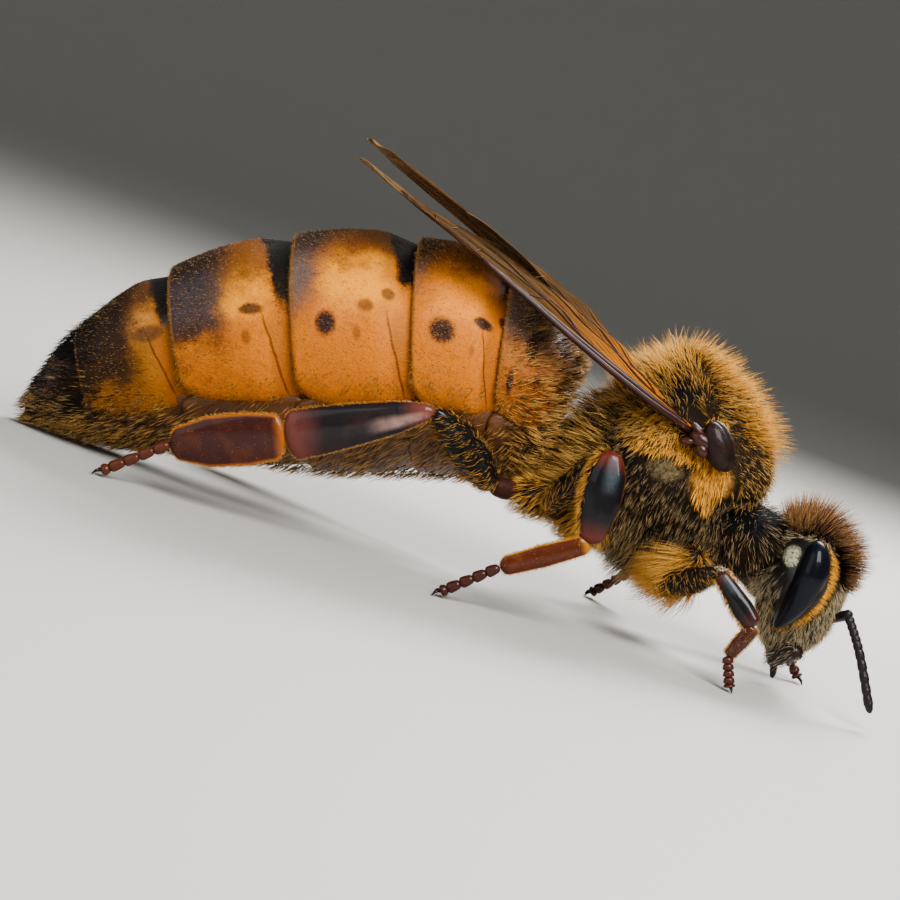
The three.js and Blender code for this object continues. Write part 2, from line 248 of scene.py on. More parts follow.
@dataclass(frozen=True)
class OutlineBody(Surface):
    """A rounded body, the same left and right, whose side view is a closed outline."""

    outline: tuple[Pair, ...]
    centre: Pair
    half_width: float
    inset: float = 0.0
    narrowing: Field | None = None
    relief: Field | None = None

    def at(self, u: Shares, v: Shares) -> Points:
        """Gives the points of the surface."""
        edge = Curve(self.outline, closed=True).at(u)
        middle = np.array(self.centre)
        reach = edge - middle
        length = np.linalg.norm(reach, axis=-1, keepdims=True)
        reach = reach * (1 - self.inset / length)
        angle = (np.clip(v, 0, 1) - 0.5) * math.pi
        side = middle + reach * np.cos(angle)[..., None]
        y = np.sin(angle) * (self.half_width - self.inset)
        points = np.stack([side[..., 0], y, side[..., 1]], axis=-1)
        if self.narrowing:
            points[..., 1] *= self.narrowing(points)
        if self.relief:
            points = points + unit(points - self.core(u, v)) * self.relief(points)[..., None]
        return points

    def core(self, u: Shares, v: Shares) -> Points:
        """Gives the middle of the body."""
        inside = np.array([self.centre[0], 0.0, self.centre[1]])
        return np.broadcast_to(inside, (*np.shape(u), 3))


@dataclass(frozen=True)
class Egg(Surface):
    """An ellipsoid on one side of the bee, leaning in the side view, its ends bowed back and its foot narrower."""

    centre: Place
    half: Place
    side: float = 1.0
    lean: float = 0.0
    bow: float = 0.0
    taper: float = 0.0

    def at(self, u: Shares, v: Shares) -> Points:
        """Gives the points of the surface."""
        turn, rise = u * 2 * math.pi, (np.clip(v, 0, 1) - 0.5) * math.pi
        z = np.sin(rise) * self.half[2]
        girth = np.cos(rise) * (1 + self.taper * np.sin(rise))
        x = np.cos(turn) * girth * self.half[0] - self.bow * (z / self.half[2]) ** 2
        y = np.sin(turn) * girth * self.half[1]
        c, s = math.cos(self.lean), math.sin(self.lean)
        x, z = c * x + s * z, c * z - s * x
        return np.stack([x + self.centre[0], (y + self.centre[1]) * self.side, z + self.centre[2]], axis=-1)

    def core(self, u: Shares, v: Shares) -> Points:
        """Gives the middle of the body."""
        x, y, z = self.centre
        return np.broadcast_to(np.array([x, y * self.side, z]), (*np.shape(u), 3))


@dataclass(frozen=True)
class Limb(Surface):
    """One joint of a limb, with rounded ends: `wide` in the side view, `thick` across it."""

    start: Place
    stop: Place
    wide: Row
    thick: Row
    side: float = 1.0
    bow: float = 0.0
    blunt: float = 0.8
    part: float = 0.0
    square: float = 2.0

    def axes(self) -> tuple[Points, Points, Points, Points]:
        """Gives the start, the axis with its length, and the two directions across it."""
        start, stop = np.array(self.start), np.array(self.stop)
        start[1] *= self.side
        stop[1] *= self.side
        axis = stop - start
        along = unit(axis)
        across = unit(np.array([0.0, 1.0, 0.0]) - along * along[1])
        return start, axis, across, np.cross(across, along)

    def middle(self, t: Shares) -> Points:
        """Gives points of the centre line at shares of its length."""
        start, axis, _, up = self.axes()
        return start + axis * t[..., None] + up * (self.bow * np.sin(math.pi * t))[..., None]

    def at(self, u: Shares, v: Shares) -> Points:
        """Gives the points of the surface."""
        t = travel(v)
        _, _, across, up = self.axes()
        end = np.clip((np.abs(2 * t - 1) - self.blunt) / (1 - self.blunt), 0, 1)
        closing = np.sqrt(np.maximum(1 - end * end, 0))
        wide, thick = spread(t, self.wide) * closing, spread(t, self.thick) * closing
        turn = u * 2 * math.pi
        power = 2 / self.square
        c, s = (np.sign(wave) * np.abs(wave) ** power for wave in (np.cos(turn), np.sin(turn)))
        points = self.middle(t) + up * (wide * c)[..., None] + across * (thick * s)[..., None]
        points[..., 2] = np.maximum(points[..., 2], 0.0)
        return points

    def core(self, u: Shares, v: Shares) -> Points:
        """Gives the centre line."""
        return self.middle(travel(v))

    def lay(self, u: Shares, v: Shares) -> Points:
        """Gives the part's number, the share along it, and how near the upper or lower edge it is."""
        return np.stack([np.full_like(u, self.part), travel(v), np.cos(u * 2 * math.pi)], axis=-1)


# The abdomen's cross-sections from waist to tail: back and belly in the side view, and the half width.
ABDOMEN_BACK = ((1.32, 0.25, 4.3), (1.12, 1.6, 5.62), (-0.85, 2.3, 6.95), (-2.95, 2.46, 6.87),
                (-5.6, 2.44, 6.04), (-7.98, 2.06, 4.44), (-9.55, 1.3, 2.4), (-10.22, 0.3, 0.5))
ABDOMEN_BELLY = ((1.28, 3.9), (0.86, 2.82), (0.2, 2.36), (-1.25, 1.9), (-3.45, 1.2), (-5.85, 0.78),
                 (-8.1, 0.24), (-10.1, 0.12))


@dataclass(frozen=True)
class Barrel(Surface):
    """The abdomen's surface from one place along it to another, over an arc about its back or belly.

    Places run from 0 at the waist to 7 at the tail; angles from 0 at the back to 180 at the belly.
    """

    first: float
    last: float
    reach: float = 180.0
    about: float = 0.0
    tuck: float = 0.0
    swell: float = 0.0
    lip: float = 0.0
    round_off: float = 0.0
    lift: float = 0.0

    def arc(self, u: Shares, v: Shares) -> tuple[Shares, Shares]:
        """Gives the place along and the signed angle from the middle of the arc, in degrees."""
        along = self.first + (self.last - self.first) * np.clip(v, 0, 1)
        rear = np.clip((np.clip(v, 0, 1) - 0.72) / 0.28, 0, 1)
        front = np.clip((0.12 - np.clip(v, 0, 1)) / 0.12, 0, 1)
        cut = 2 - np.sqrt(1 - rear * rear) - np.sqrt(1 - front * front)
        return along, (2 * np.clip(u, 0, 1) - 1) * (self.reach - self.round_off * cut)

    def ring(self, along: Shares) -> tuple[Points, Points, Shares]:
        """Gives the middle, the way to the back, and the half width of cross-sections."""
        back = Curve(ABDOMEN_BACK).at(along / 7)
        belly = Curve(ABDOMEN_BELLY).at(along / 7)
        top = back[..., [0, 2]]
        middle = (top + belly) / 2
        return middle, top - middle, back[..., 1]

    def height(self, u: Shares, v: Shares) -> Shares:
        """Gives how far the surface stands off the abdomen's outline."""
        v = np.clip(v, 0, 1)
        edge = np.abs(2 * np.clip(u, 0, 1) - 1)
        height = self.lift - self.tuck * (1 - ease(v, 0.1, 0.44)) + self.swell * np.sin(math.pi * v)
        height = height - self.lip * ease(v, 0.975, 1.0)
        return height - (self.lip * ease(edge, 0.96, 1.0) if self.reach < 180 else 0)

    def at(self, u: Shares, v: Shares) -> Points:
        """Gives the points of the surface."""
        along, angle = self.arc(u, v)
        turn = np.radians(angle + self.about)
        middle, depth, half = self.ring(along)
        height = self.height(u, v)
        length = np.linalg.norm(depth, axis=-1)
        side = middle + depth * ((1 + height / length) * np.cos(turn))[..., None]
        y = (half + height) * np.sin(turn)
        return np.stack([side[..., 0], y, np.maximum(side[..., 1], 0.02)], axis=-1)

    def core(self, u: Shares, v: Shares) -> Points:
        """Gives the middle of each cross-section."""
        along, _ = self.arc(u, v)
        middle, _, _ = self.ring(along)
        return np.stack([middle[..., 0], np.zeros_like(along), middle[..., 1]], axis=-1)

    def lay(self, u: Shares, v: Shares) -> Points:
        """Gives the place along, the angle from the back in half turns, and the share along the plate."""
        along, angle = self.arc(u, v)
        turned = np.abs((angle + self.about + 180) % 360 - 180)
        return np.stack([along, turned / 180, v], axis=-1)


@dataclass(frozen=True)
class Blade(Surface):
    """A wing membrane between its leading and its trailing edge, twisted from hinge to tip.

    The slants say how steeply it climbs towards the middle of the bee, evenly spaced from hinge to tip.
    """

    lead: tuple[Pair, ...]
    trail: tuple[Pair, ...]
    hinge: Place
    tip: Place
    slants: Row
    side: float
    span: float
    lift: float = 0.0
    pleats: float = 0.035

    def spot(self, along: Shares, back: Shares) -> Points:
        """Gives the point at shares of the span, along the wing and back from its leading edge."""
        along, back = np.asarray(along, float), np.asarray(back, float)
        root = np.array([self.hinge[0], self.side * self.hinge[1], self.hinge[2]])
        stop = np.array([self.tip[0], self.side * self.tip[1], self.tip[2]])
        lengthways = unit(stop - root)
        slant = spread(along, self.slants)
        inwards = np.stack([np.zeros_like(slant), np.full_like(slant, -self.side), slant], axis=-1)
        inwards = unit(inwards - lengthways * (inwards @ lengthways)[..., None])
        upwards = np.cross(lengthways, inwards)
        upwards = upwards * np.sign(upwards[..., 2:])
        rise = self.lift + self.pleats * np.sin(back * 75 + along * 3) * ease(along, 0.02, 0.2)
        return (root + lengthways * (along * self.span)[..., None]
                + inwards * (back * self.span)[..., None] + upwards * rise[..., None])

    def at(self, u: Shares, v: Shares) -> Points:
        """Gives the points of the membrane."""
        lead = Curve(self.lead).at(u)
        trail = Curve(self.trail).at(u)
        place = lead + (trail - lead) * np.clip(v, 0, 1)[..., None]
        return self.spot(place[..., 0], place[..., 1])

    def core(self, u: Shares, v: Shares) -> Points:
        """Gives a point below the membrane."""
        return self.at(u, v) - np.array([0.0, 0.0, 1.0])


@dataclass(frozen=True)
class Rod(Surface):
    """A round rod along a curve, thick or thin as its radii say, closed at both ends."""

    path: tuple[Place, ...]
    radii: Row
    part: float = 0.0

    def middle(self, v: Shares) -> Points:
        """Gives points of the centre line."""
        return Curve(self.path).at(v)

    def at(self, u: Shares, v: Shares) -> Points:
        """Gives the points of the surface."""
        v = np.clip(v, 0, 1)
        t = np.clip((v - 0.02) / 0.96, 0, 1)  # the rest closes the ends
        step = 1e-3
        ahead = unit(self.middle(t + step) - self.middle(t - step))
        aside = unit(np.cross(ahead, np.array([0.13, 0.31, 0.94])))
        over = np.cross(ahead, aside)
        radius = spread(t, self.radii) * np.where((v <= 0) | (v >= 1), 0.0, 1.0)
        turn = u * 2 * math.pi
        return (self.middle(t) + aside * (radius * np.cos(turn))[..., None]
                + over * (radius * np.sin(turn))[..., None])

    def core(self, u: Shares, v: Shares) -> Points:
        """Gives the centre line."""
        return self.middle(np.clip((v - 0.02) / 0.96, 0, 1))

    def lay(self, u: Shares, v: Shares) -> Points:
        """Gives the part's number and the shares along and around."""
        return np.stack([np.full_like(u, self.part), v, u], axis=-1)


# ---------------------------------------------------------------- making meshes


def around(verts: Sequence[bmesh.types.BMVert]) -> list[bmesh.types.BMFace]:
    """Gives the faces at some vertices, each once and in their order."""
    return list(dict.fromkeys(face for vert in verts for face in vert.link_faces))


def settle(bm: bmesh.types.BMesh) -> None:
    """Puts the faces in one order, after a step that makes them in any order."""
    bm.verts.index_update()
    count = len(bm.verts)

    def rank(face: bmesh.types.BMFace) -> float:
        """Gives a face's place from the numbers of its corners."""
        corners = sorted(vert.index for vert in face.verts)
        return float((corners[0] * count + corners[-1]) * count + corners[1])

    bm.faces.sort(key=rank)


def add_surface(bm: bmesh.types.BMesh, surface: Surface, steps: Steps, wall: float = 0.0) -> None:
    """Adds a surface to a mesh: a flat grid is bent to it, its seams are merged and its ends closed.

    Args:
        bm: The mesh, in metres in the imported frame.
        surface: The surface.
        steps: Faces around and along.
        wall: Thickness, for an open plate, in millimetres.
    """
    layer = bm.verts.layers.float_vector.get("lay") or bm.verts.layers.float_vector.new("lay")
    fresh = bmesh.ops.create_grid(bm, x_segments=steps[0], y_segments=steps[1], size=0.5)["verts"]
    shares = np.clip(np.array([vert.co.xy for vert in fresh]) + 0.5, 0, 1)
    u, v = shares[:, 0], shares[:, 1]
    points, lay = to_metres(surface.at(u, v)), surface.lay(u, v)
    for vert, point, values in zip(fresh, points, lay):
        vert.co = point
        vert[layer] = values
    bmesh.ops.remove_doubles(bm, verts=fresh, dist=SEAM)
    kept = [vert for vert in fresh if vert.is_valid]
    faces = around(kept)
    if wall:
        bmesh.ops.recalc_face_normals(bm, faces=faces)
        bmesh.ops.solidify(bm, geom=faces, thickness=wall * MM)
        settle(bm)
        return
    edges = [edge for face in faces for edge in face.edges if edge.is_boundary]
    if edges:
        bmesh.ops.holes_fill(bm, edges=list(dict.fromkeys(edges)), sides=0)
    bmesh.ops.recalc_face_normals(bm, faces=around(kept))


@dataclass(frozen=True)
class Slot:
    """A finish's name and the imported nodes that a piece stands for."""

    finish: str
    nodes: tuple[str, ...] = ()


def placed(name: str, mesh: bpy.types.Mesh) -> Piece:
    """Puts a smooth-shaded mesh in the scene."""
    mesh.shade_smooth()
    piece = bpy.data.objects.new(name, mesh)
    bpy.context.scene.collection.objects.link(piece)
    return piece


def finished(name: str, bm: bmesh.types.BMesh) -> Piece:
    """Turns a finished bmesh into an object in the scene."""
    mesh = bpy.data.meshes.new(name)
    bm.to_mesh(mesh)
    bm.free()
    return placed(name, mesh)


def declare(piece: Piece, material: Material, slot: Slot) -> Piece:
    """Dresses a finished piece with its material, hangs it under the root body and hides the parts that it stands
    for.

    Args:
        piece: The object, already in place.
        material: Its material.
        slot: Holds the nodes that it stands for.

    Returns:
        The same object.
    """
    piece.data.materials.clear()
    piece.data.materials.append(material)
    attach(piece, "root")
    if slot.nodes:
        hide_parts(*slot.nodes)
    log.info("%s: %d faces", piece.name, len(piece.data.polygons))
    return piece


def shell(name: str, surfaces: Sequence[tuple[Surface, Steps]], material: Material,
          slot: Slot, wall: float = 0.0) -> Piece:
    """Builds one smooth piece out of closed surfaces.

    Args:
        name: The piece's name.
        surfaces: Surfaces with their steps around and along.
        material: Its material.
        slot: What it stands for.
        wall: Thickness of open plates, in millimetres.

    Returns:
        The finished object.
    """
    bm = bmesh.new()
    for surface, steps in surfaces:
        add_surface(bm, surface, steps, wall)
    return declare(finished(name, bm), material, slot)


class Measure:
    """A number at every place of a surface, which can stand in sums, products and eased steps."""

    def __init__(self, read: Callable[[Points, Shares, Shares], Shares]) -> None:
        """Keeps the function that reads the number from points and their shares."""
        self.read = read

    def __call__(self, points: Points, u: Shares, v: Shares) -> Shares:
        """Reads the number at each place."""
        return self.read(points, u, v)

    def joined(self, other: "Measure | float", way: Callable[[Shares, Shares], Shares]) -> "Measure":
        """Joins this with another measure or a number."""
        return Measure(lambda *place: way(self(*place), other(*place) if callable(other) else other))

    def __add__(self, other: "Measure | float") -> "Measure":
        """Adds."""
        return self.joined(other, np.add)

    __radd__ = __add__

    def __mul__(self, other: "Measure | float") -> "Measure":
        """Multiplies."""
        return self.joined(other, np.multiply)

    __rmul__ = __mul__

    def __sub__(self, other: "Measure | float") -> "Measure":
        """Takes the other away."""
        return self.joined(other, np.subtract)

    def __rsub__(self, other: float) -> "Measure":
        """Takes this away from a number."""
        return self.joined(other, lambda mine, given: given - mine)

    def __abs__(self) -> "Measure":
        """Drops the sign."""
        return Measure(lambda *place: np.abs(self(*place)))

    def held(self, most: "Measure | float" = 1.0) -> "Measure":
        """Holds between 0 and the most."""
        return self.joined(most, lambda mine, top: np.clip(mine, 0, top))

    def ease(self, low: float, high: float) -> "Measure":
        """Rises smoothly from 0 at low to 1 at high; falls where high is below low."""
        return Measure(lambda *place: ease(self(*place), low, high))


X, Y, Z = (Measure(lambda points, u, v, axis=axis: points[:, axis]) for axis in range(3))
U, V = (Measure(lambda points, u, v, share=share: (u, v)[share]) for share in range(2))
EVERYWHERE = Measure(lambda points, u, v: np.ones(len(points)))


def by_place(read: Field) -> Measure:
    """Makes a measure of a function of points alone."""
    return Measure(lambda points, u, v: read(points))


def close(place: Floats, size: Floats) -> Measure:
    """Makes a measure that is 1 at a place and fades to 0 about a size away, on both sides alike."""
    return by_place(lambda points: near(points, place, size))


@dataclass(frozen=True)
class Coat:
    """A coat of tapering hairs over one surface: how many, how long, which way they lie and where they grow.

    The shade is the share of dark hairs. Stand, droop, unruly and clump say how the hairs rise, hang and stray,
    and gather, reach and tuft how far and in how large tufts their tips lean together.
    """

    surface: Surface
    count: int
    length: float | Measure
    lie: Floats | Field
    where: Measure = EVERYWHERE
    shade: float | Measure = 0.0
    width: float = 0.022
    stand: float = 0.5
    droop: float = 0.5
    unruly: float = 0.18
    rings: int = 3
    seed: int = 1
    clump: float = 0.0
    gather: float = 0.0
    reach: float = 0.5
    tuft: int = 7
    uneven: float = 0.35
    tile: Tile = (0.0, 0.0, 1.0, 1.0)

    def leaders(self, root: Points) -> np.ndarray:
        """Finds the nearest of every few hairs, the one that each hair leans to."""
        tree = KDTree(len(root[::self.tuft]))
        for number, place in enumerate(root[::self.tuft]):
            tree.insert(place, number * self.tuft)
        tree.balance()
        return np.array([tree.find(place)[1] for place in root])

    def hairs(self) -> "Hairs":
        """Grows the coat.

        Returns:
            The hairs' points, shares and marks.
        """
        rng = np.random.default_rng(self.seed)
        u, v = self.surface.scatter(self.count, rng, self.where)
        root = self.surface.at(u, v)
        normal, _ = self.surface.normals(u, v)
        lie = self.lie(root) if callable(self.lie) else np.broadcast_to(np.array(self.lie), root.shape)
        lie = unit(lie - normal * np.sum(lie * normal, axis=1, keepdims=True))
        chance = rng.normal(0, 1, (len(u), 3))
        wave = np.stack([np.sin(root[:, 1] * 7 + root[:, 2] * 5), np.sin(root[:, 0] * 6 + root[:, 2] * 4),
                         np.sin(root[:, 0] * 8 + root[:, 1] * 6)], axis=1)
        start = unit(normal * self.stand + lie * (1 - self.stand) + chance * self.unruly + wave * self.clump)
        stop = unit(start * (1 - self.droop) + lie * self.droop + chance[:, ::-1] * self.unruly * 0.4)
        length, shade = (given(root, u, v) if callable(given) else given for given in (self.length, self.shade))
        length = length * rng.uniform(1 - self.uneven, 1.15, len(u))
        shade = np.clip(shade + rng.normal(0, 0.08, len(u)), 0, 1)
        luck, tone = rng.random((2, len(u)))
        if self.gather:
            leader = self.leaders(root)
            tip = root + (start + stop) * length[:, None] / 2
            pull = (tip[leader] - tip) / length[:, None]
            far = np.linalg.norm(pull, axis=1, keepdims=True)
            stop = stop + 2 * self.gather * pull * np.minimum(1, self.reach / np.maximum(far, self.reach))
            tone = 0.5 * (tone + tone[leader])
            luck = np.where(rng.random(len(u)) < 0.6, luck[leader], luck)
        dark = (luck < shade).astype(float)
        left, bottom, wide, high = self.tile
        home = np.stack([left + wide * (0.01 + 0.98 * u), bottom + high * (0.01 + 0.98 * v)], axis=1)
        width = self.width * np.clip(rng.normal(1, 0.18, len(u)), 0.6, 1.5)
        return Hairs(root - normal * self.width, start, stop, length, width, home, tone, dark, self.rings)


@dataclass(frozen=True)
class Hairs:
    """Grown hairs: where they root, which way they set out and end, and how they are marked."""

    root: Points
    start: Points
    stop: Points
    length: Shares
    width: Shares
    home: Points
    tone: Shares
    dark: Shares
    rings: int

    def arrays(self) -> tuple[Points, Points, Points, np.ndarray, np.ndarray]:
        """Works out the mesh: rings of three points, four-sided faces between them and a point at the tip.

        Returns:
            Points, marks and OFBake places for each vertex, then the quads and the triangles.
        """
        count, rings = len(self.root), self.rings
        along = np.linspace(0, 1, rings + 1)
        turn = np.arange(3) * 2 * math.pi / 3
        size = 3 * rings + 1
        points = np.empty((count, size, 3))
        marks = np.empty((count, size, 3))
        home = np.empty((count, size, 2))
        aside = unit(np.cross(self.start, self.stop + np.array([0.11, 0.07, 0.05])))
        for ring, s in enumerate(along):
            heading = unit(self.start * (1 - s) + self.stop * s)
            centre = self.root + self.length[:, None] * (self.start * (s - s * s / 2) + self.stop * (s * s / 2))
            over = np.cross(heading, aside)
            radius = (self.width / 2 * (1 - s) ** 0.6)[:, None]
            slots = range(3 * ring, min(3 * ring + 3, size))
            for slot, angle in zip(slots, turn):
                points[:, slot] = centre + (aside * math.cos(angle) + over * math.sin(angle)) * radius
                marks[:, slot] = np.stack([np.full(count, s), self.tone, self.dark], axis=1)
                home[:, slot] = self.home + PATCH * np.array([s - 0.5, angle / 6 - 0.3])
        points[..., 2] = np.maximum(points[..., 2], FLOOR_GAP)
        first = np.arange(count)[:, None, None] * size
        side = np.array([[a, (a + 1) % 3] for a in range(3)])
        quads = np.array([[3 * r + a, 3 * r + b, 3 * r + 3 + b, 3 * r + 3 + a]
                          for r in range(rings - 1) for a, b in side]).reshape(-1, 4)
        tips = np.array([[2, 1, 0]] + [[3 * rings - 3 + a, 3 * rings - 3 + b, 3 * rings] for a, b in side])
        return (points.reshape(-1, 3), marks.reshape(-1, 3), home.reshape(-1, 2),
                (first + quads).reshape(-1, 4), (first + tips).reshape(-1, 3))


def fur(name: str, material: Material, *coats: Coat) -> Piece:
    """Grows coats and joins them in one solid mesh with its OFBake map.

    Args:
        name: The piece's name.
        material: Its material.
        coats: The coats to join.

    Returns:
        The finished object.
    """
    grown = [coat.hairs().arrays() for coat in coats]
    before = np.cumsum([0] + [len(one[0]) for one in grown])
    points, marks, home = (np.concatenate([one[row] for one in grown]) for row in range(3))
    quads, tips = (np.concatenate([one[row] + base for one, base in zip(grown, before)]) for row in (3, 4))
    mesh = bpy.data.meshes.new(name)
    mesh.vertices.add(len(points))
    mesh.vertices.foreach_set("co", to_metres(points).astype(np.float32).ravel())
    corners = np.concatenate([quads.ravel(), tips.ravel()]).astype(np.int32)
    starts = np.concatenate([np.arange(len(quads)) * 4, len(quads) * 4 + np.arange(len(tips)) * 3])
    mesh.loops.add(len(corners))
    mesh.loops.foreach_set("vertex_index", corners)
    mesh.polygons.add(len(starts))
    mesh.polygons.foreach_set("loop_start", starts.astype(np.int32))
    mesh.update(calc_edges=True)
    unwrap = mesh.uv_layers.new(name="OFBake")
    unwrap.data.foreach_set("uv", home[corners].astype(np.float32).ravel())
    strand = mesh.attributes.new("strand", "FLOAT_VECTOR", "POINT")
    strand.data.foreach_set("vector", marks.astype(np.float32).ravel())
    return declare(placed(name, mesh), material, Slot("fur"))


# ---------------------------------------------------------------- finishes


class Wire:
    """A shader socket that can stand in sums, products and masks."""

    def __init__(self, shader: "Shader", socket: bpy.types.NodeSocket) -> None:
        """Wraps a socket of a shader."""
        self.shader = shader
        self.socket = socket

    def maths(self, operation: str, *others: "Wire | float", clamp: bool = False) -> "Wire":
        """Adds a Math node after this socket."""
        settings = {"operation": operation, "use_clamp": clamp}
        return self.shader.node("Math", settings, dict(enumerate((self, *others))))

    def __add__(self, other: "Wire | float") -> "Wire":
        """Adds."""
        return self.maths("ADD", other)

    __radd__ = __add__

    def __mul__(self, other: "Wire | float") -> "Wire":
        """Multiplies."""
        return self.maths("MULTIPLY", other)

    __rmul__ = __mul__

    def __sub__(self, other: "Wire | float") -> "Wire":
        """Takes the other away."""
        return self.maths("SUBTRACT", other)

    def __rsub__(self, other: float) -> "Wire":
        """Takes this away from a number."""
        return self.shader.node("Math", {"operation": "SUBTRACT"}, {0: other, 1: self})

    def __truediv__(self, other: "Wire | float") -> "Wire":
        """Divides."""
        return self.maths("DIVIDE", other)

    def __abs__(self) -> "Wire":
        """Drops the sign."""
        return self.maths("ABSOLUTE")

    def most(self, other: "Wire | float") -> "Wire":
        """Takes the larger of two."""
        return self.maths("MAXIMUM", other)

    def held(self) -> "Wire":
        """Holds between 0 and 1."""
        return self.maths("ADD", 0.0, clamp=True)

    def rise(self, low: float, high: float) -> "Wire":
        """Rises smoothly from 0 at low to 1 at high."""
        values = {"Value": self, "From Min": low, "From Max": high}
        return self.shader.node("MapRange", {"interpolation_type": "SMOOTHSTEP"}, values)

    def fall(self, low: float, high: float) -> "Wire":
        """Falls smoothly from 1 at low to 0 at high."""
        return 1 - self.rise(low, high)


class Shader:
    """A material under construction, around one Principled BSDF."""

    def __init__(self, name: str) -> None:
        """Makes an empty material.

        Args:
            name: The material's name.
        """
        self.material = bpy.data.materials.new(name)
        self.material.use_nodes = True
        self.tree = self.material.node_tree
        self.surface = self.tree.nodes["Principled BSDF"]

    def node(self, kind: str, settings: dict[str, object], values: dict[int | str, object],
             output: int | str = 0) -> Wire:
        """Adds a node.

        Args:
            kind: The node's type, without its prefix.
            settings: Its properties.
            values: Numbers, colours or wires for its sockets.
            output: The socket to go on from.

        Returns:
            The wire of that output.
        """
        made = self.tree.nodes.new("ShaderNode" + kind)
        for key, value in settings.items():
            setattr(made, key, value)
        for key, value in values.items():
            self.feed(made.inputs[key], value)
        return Wire(self, made.outputs[output])

    def feed(self, socket: bpy.types.NodeSocket, value: object) -> None:
        """Gives a socket a wire, a number or a colour."""
        if isinstance(value, Wire):
            self.tree.links.new(value.socket, socket)
        elif socket.type == "RGBA":
            socket.default_value = (*(rgb(value) if isinstance(value, str) else value), 1.0)
        else:
            socket.default_value = value

    def set(self, **values: object) -> None:
        """Sets sockets of the Principled BSDF, named with underscores for spaces."""
        for key, value in values.items():
            self.feed(self.surface.inputs[key.replace("_", " ")], value)

    def millimetres(self) -> Wire:
        """Gives the object's own coordinates in millimetres, in the drawing frame."""
        place = self.node("TexCoord", {}, {}, "Object")
        scaled = self.node("VectorMath", {"operation": "SCALE"}, {"Vector": place, "Scale": 1 / MM})
        return self.node("VectorMath", {"operation": "SUBTRACT"}, {0: scaled, 1: tuple(SHIFT)})

    def split(self, vector: Wire) -> tuple[Wire, Wire, Wire]:
        """Gives the three numbers of a vector."""
        first = self.node("SeparateXYZ", {}, {0: vector})
        return tuple(Wire(self, out) for out in first.socket.node.outputs)

    def marks(self, name: str) -> tuple[Wire, Wire, Wire]:
        """Gives the three numbers of a piece's attribute."""
        return self.split(self.node("Attribute", {"attribute_name": name}, {}, "Vector"))

    def noise(self, scale: float, detail: float = 3.0, rough: float = 0.55) -> Wire:
        """Gives cloudy noise about 0, in step with millimetres."""
        values = {"Vector": self.millimetres(), "Scale": scale, "Detail": detail, "Roughness": rough}
        return self.node("TexNoise", {}, values) - 0.5

    def cells(self, scale: float) -> Wire:
        """Gives the distance to the middle of the nearest of many small cells."""
        return self.node("TexVoronoi", {}, {"Vector": self.millimetres(), "Scale": scale}, "Distance")

    def mix(self, share: Wire | float, under: object, over: object, way: str = "MIX") -> Wire:
        """Blends two colours by a share."""
        settings = {"data_type": "RGBA", "blend_type": way}
        return self.node("Mix", settings, {0: share, 6: under, 7: over}, 2)

    def layers(self, base: object, *over: tuple[Wire, Colour]) -> Wire | object:
        """Lays colours one over another, each where its mask is."""
        for mask, colour in over:
            base = self.mix(mask.held(), base, colour)
        return base

    def bump(self, height: Wire, depth: float) -> Wire:
        """Turns a height into a bump, with its depth in millimetres."""
        return self.node("Bump", {}, {"Height": height, "Distance": depth * MM, "Strength": 1.0})

    def close_to(self, place: Floats, size: Floats) -> Wire:
        """Gives a mask that is 1 near a place, on both sides of the bee alike.

        Args:
            place: The middle in the drawing frame, with y counted outwards.
            size: The reach along x, y and z.

        Returns:
            The mask.
        """
        away = [(axis - middle) / reach for axis, middle, reach in zip(self.folded(), place, size)]
        return (away[0] * away[0] + away[1] * away[1] + away[2] * away[2]).fall(0.25, 1.6)

    def folded(self) -> tuple[Wire, Wire, Wire]:
        """Gives x, the distance from the plane of symmetry, and z."""
        x, y, z = self.split(self.millimetres())
        return x, abs(y), z


class Finish:
    """A finish, which wires itself into a material."""

    name: str

    def wire(self, shader: Shader) -> None:
        """Wires the finish into its shader."""
        raise NotImplementedError

    def build(self) -> Material:
        """Makes the material."""
        shader = Shader(self.name)
        self.wire(shader)
        return shader.material


@dataclass(frozen=True)
class Spot:
    """A dark spot on a plate: its place along and round the abdomen, and its size both ways."""

    along: float
    angle: float
    length: float
    height: float
    strength: float = 1.0


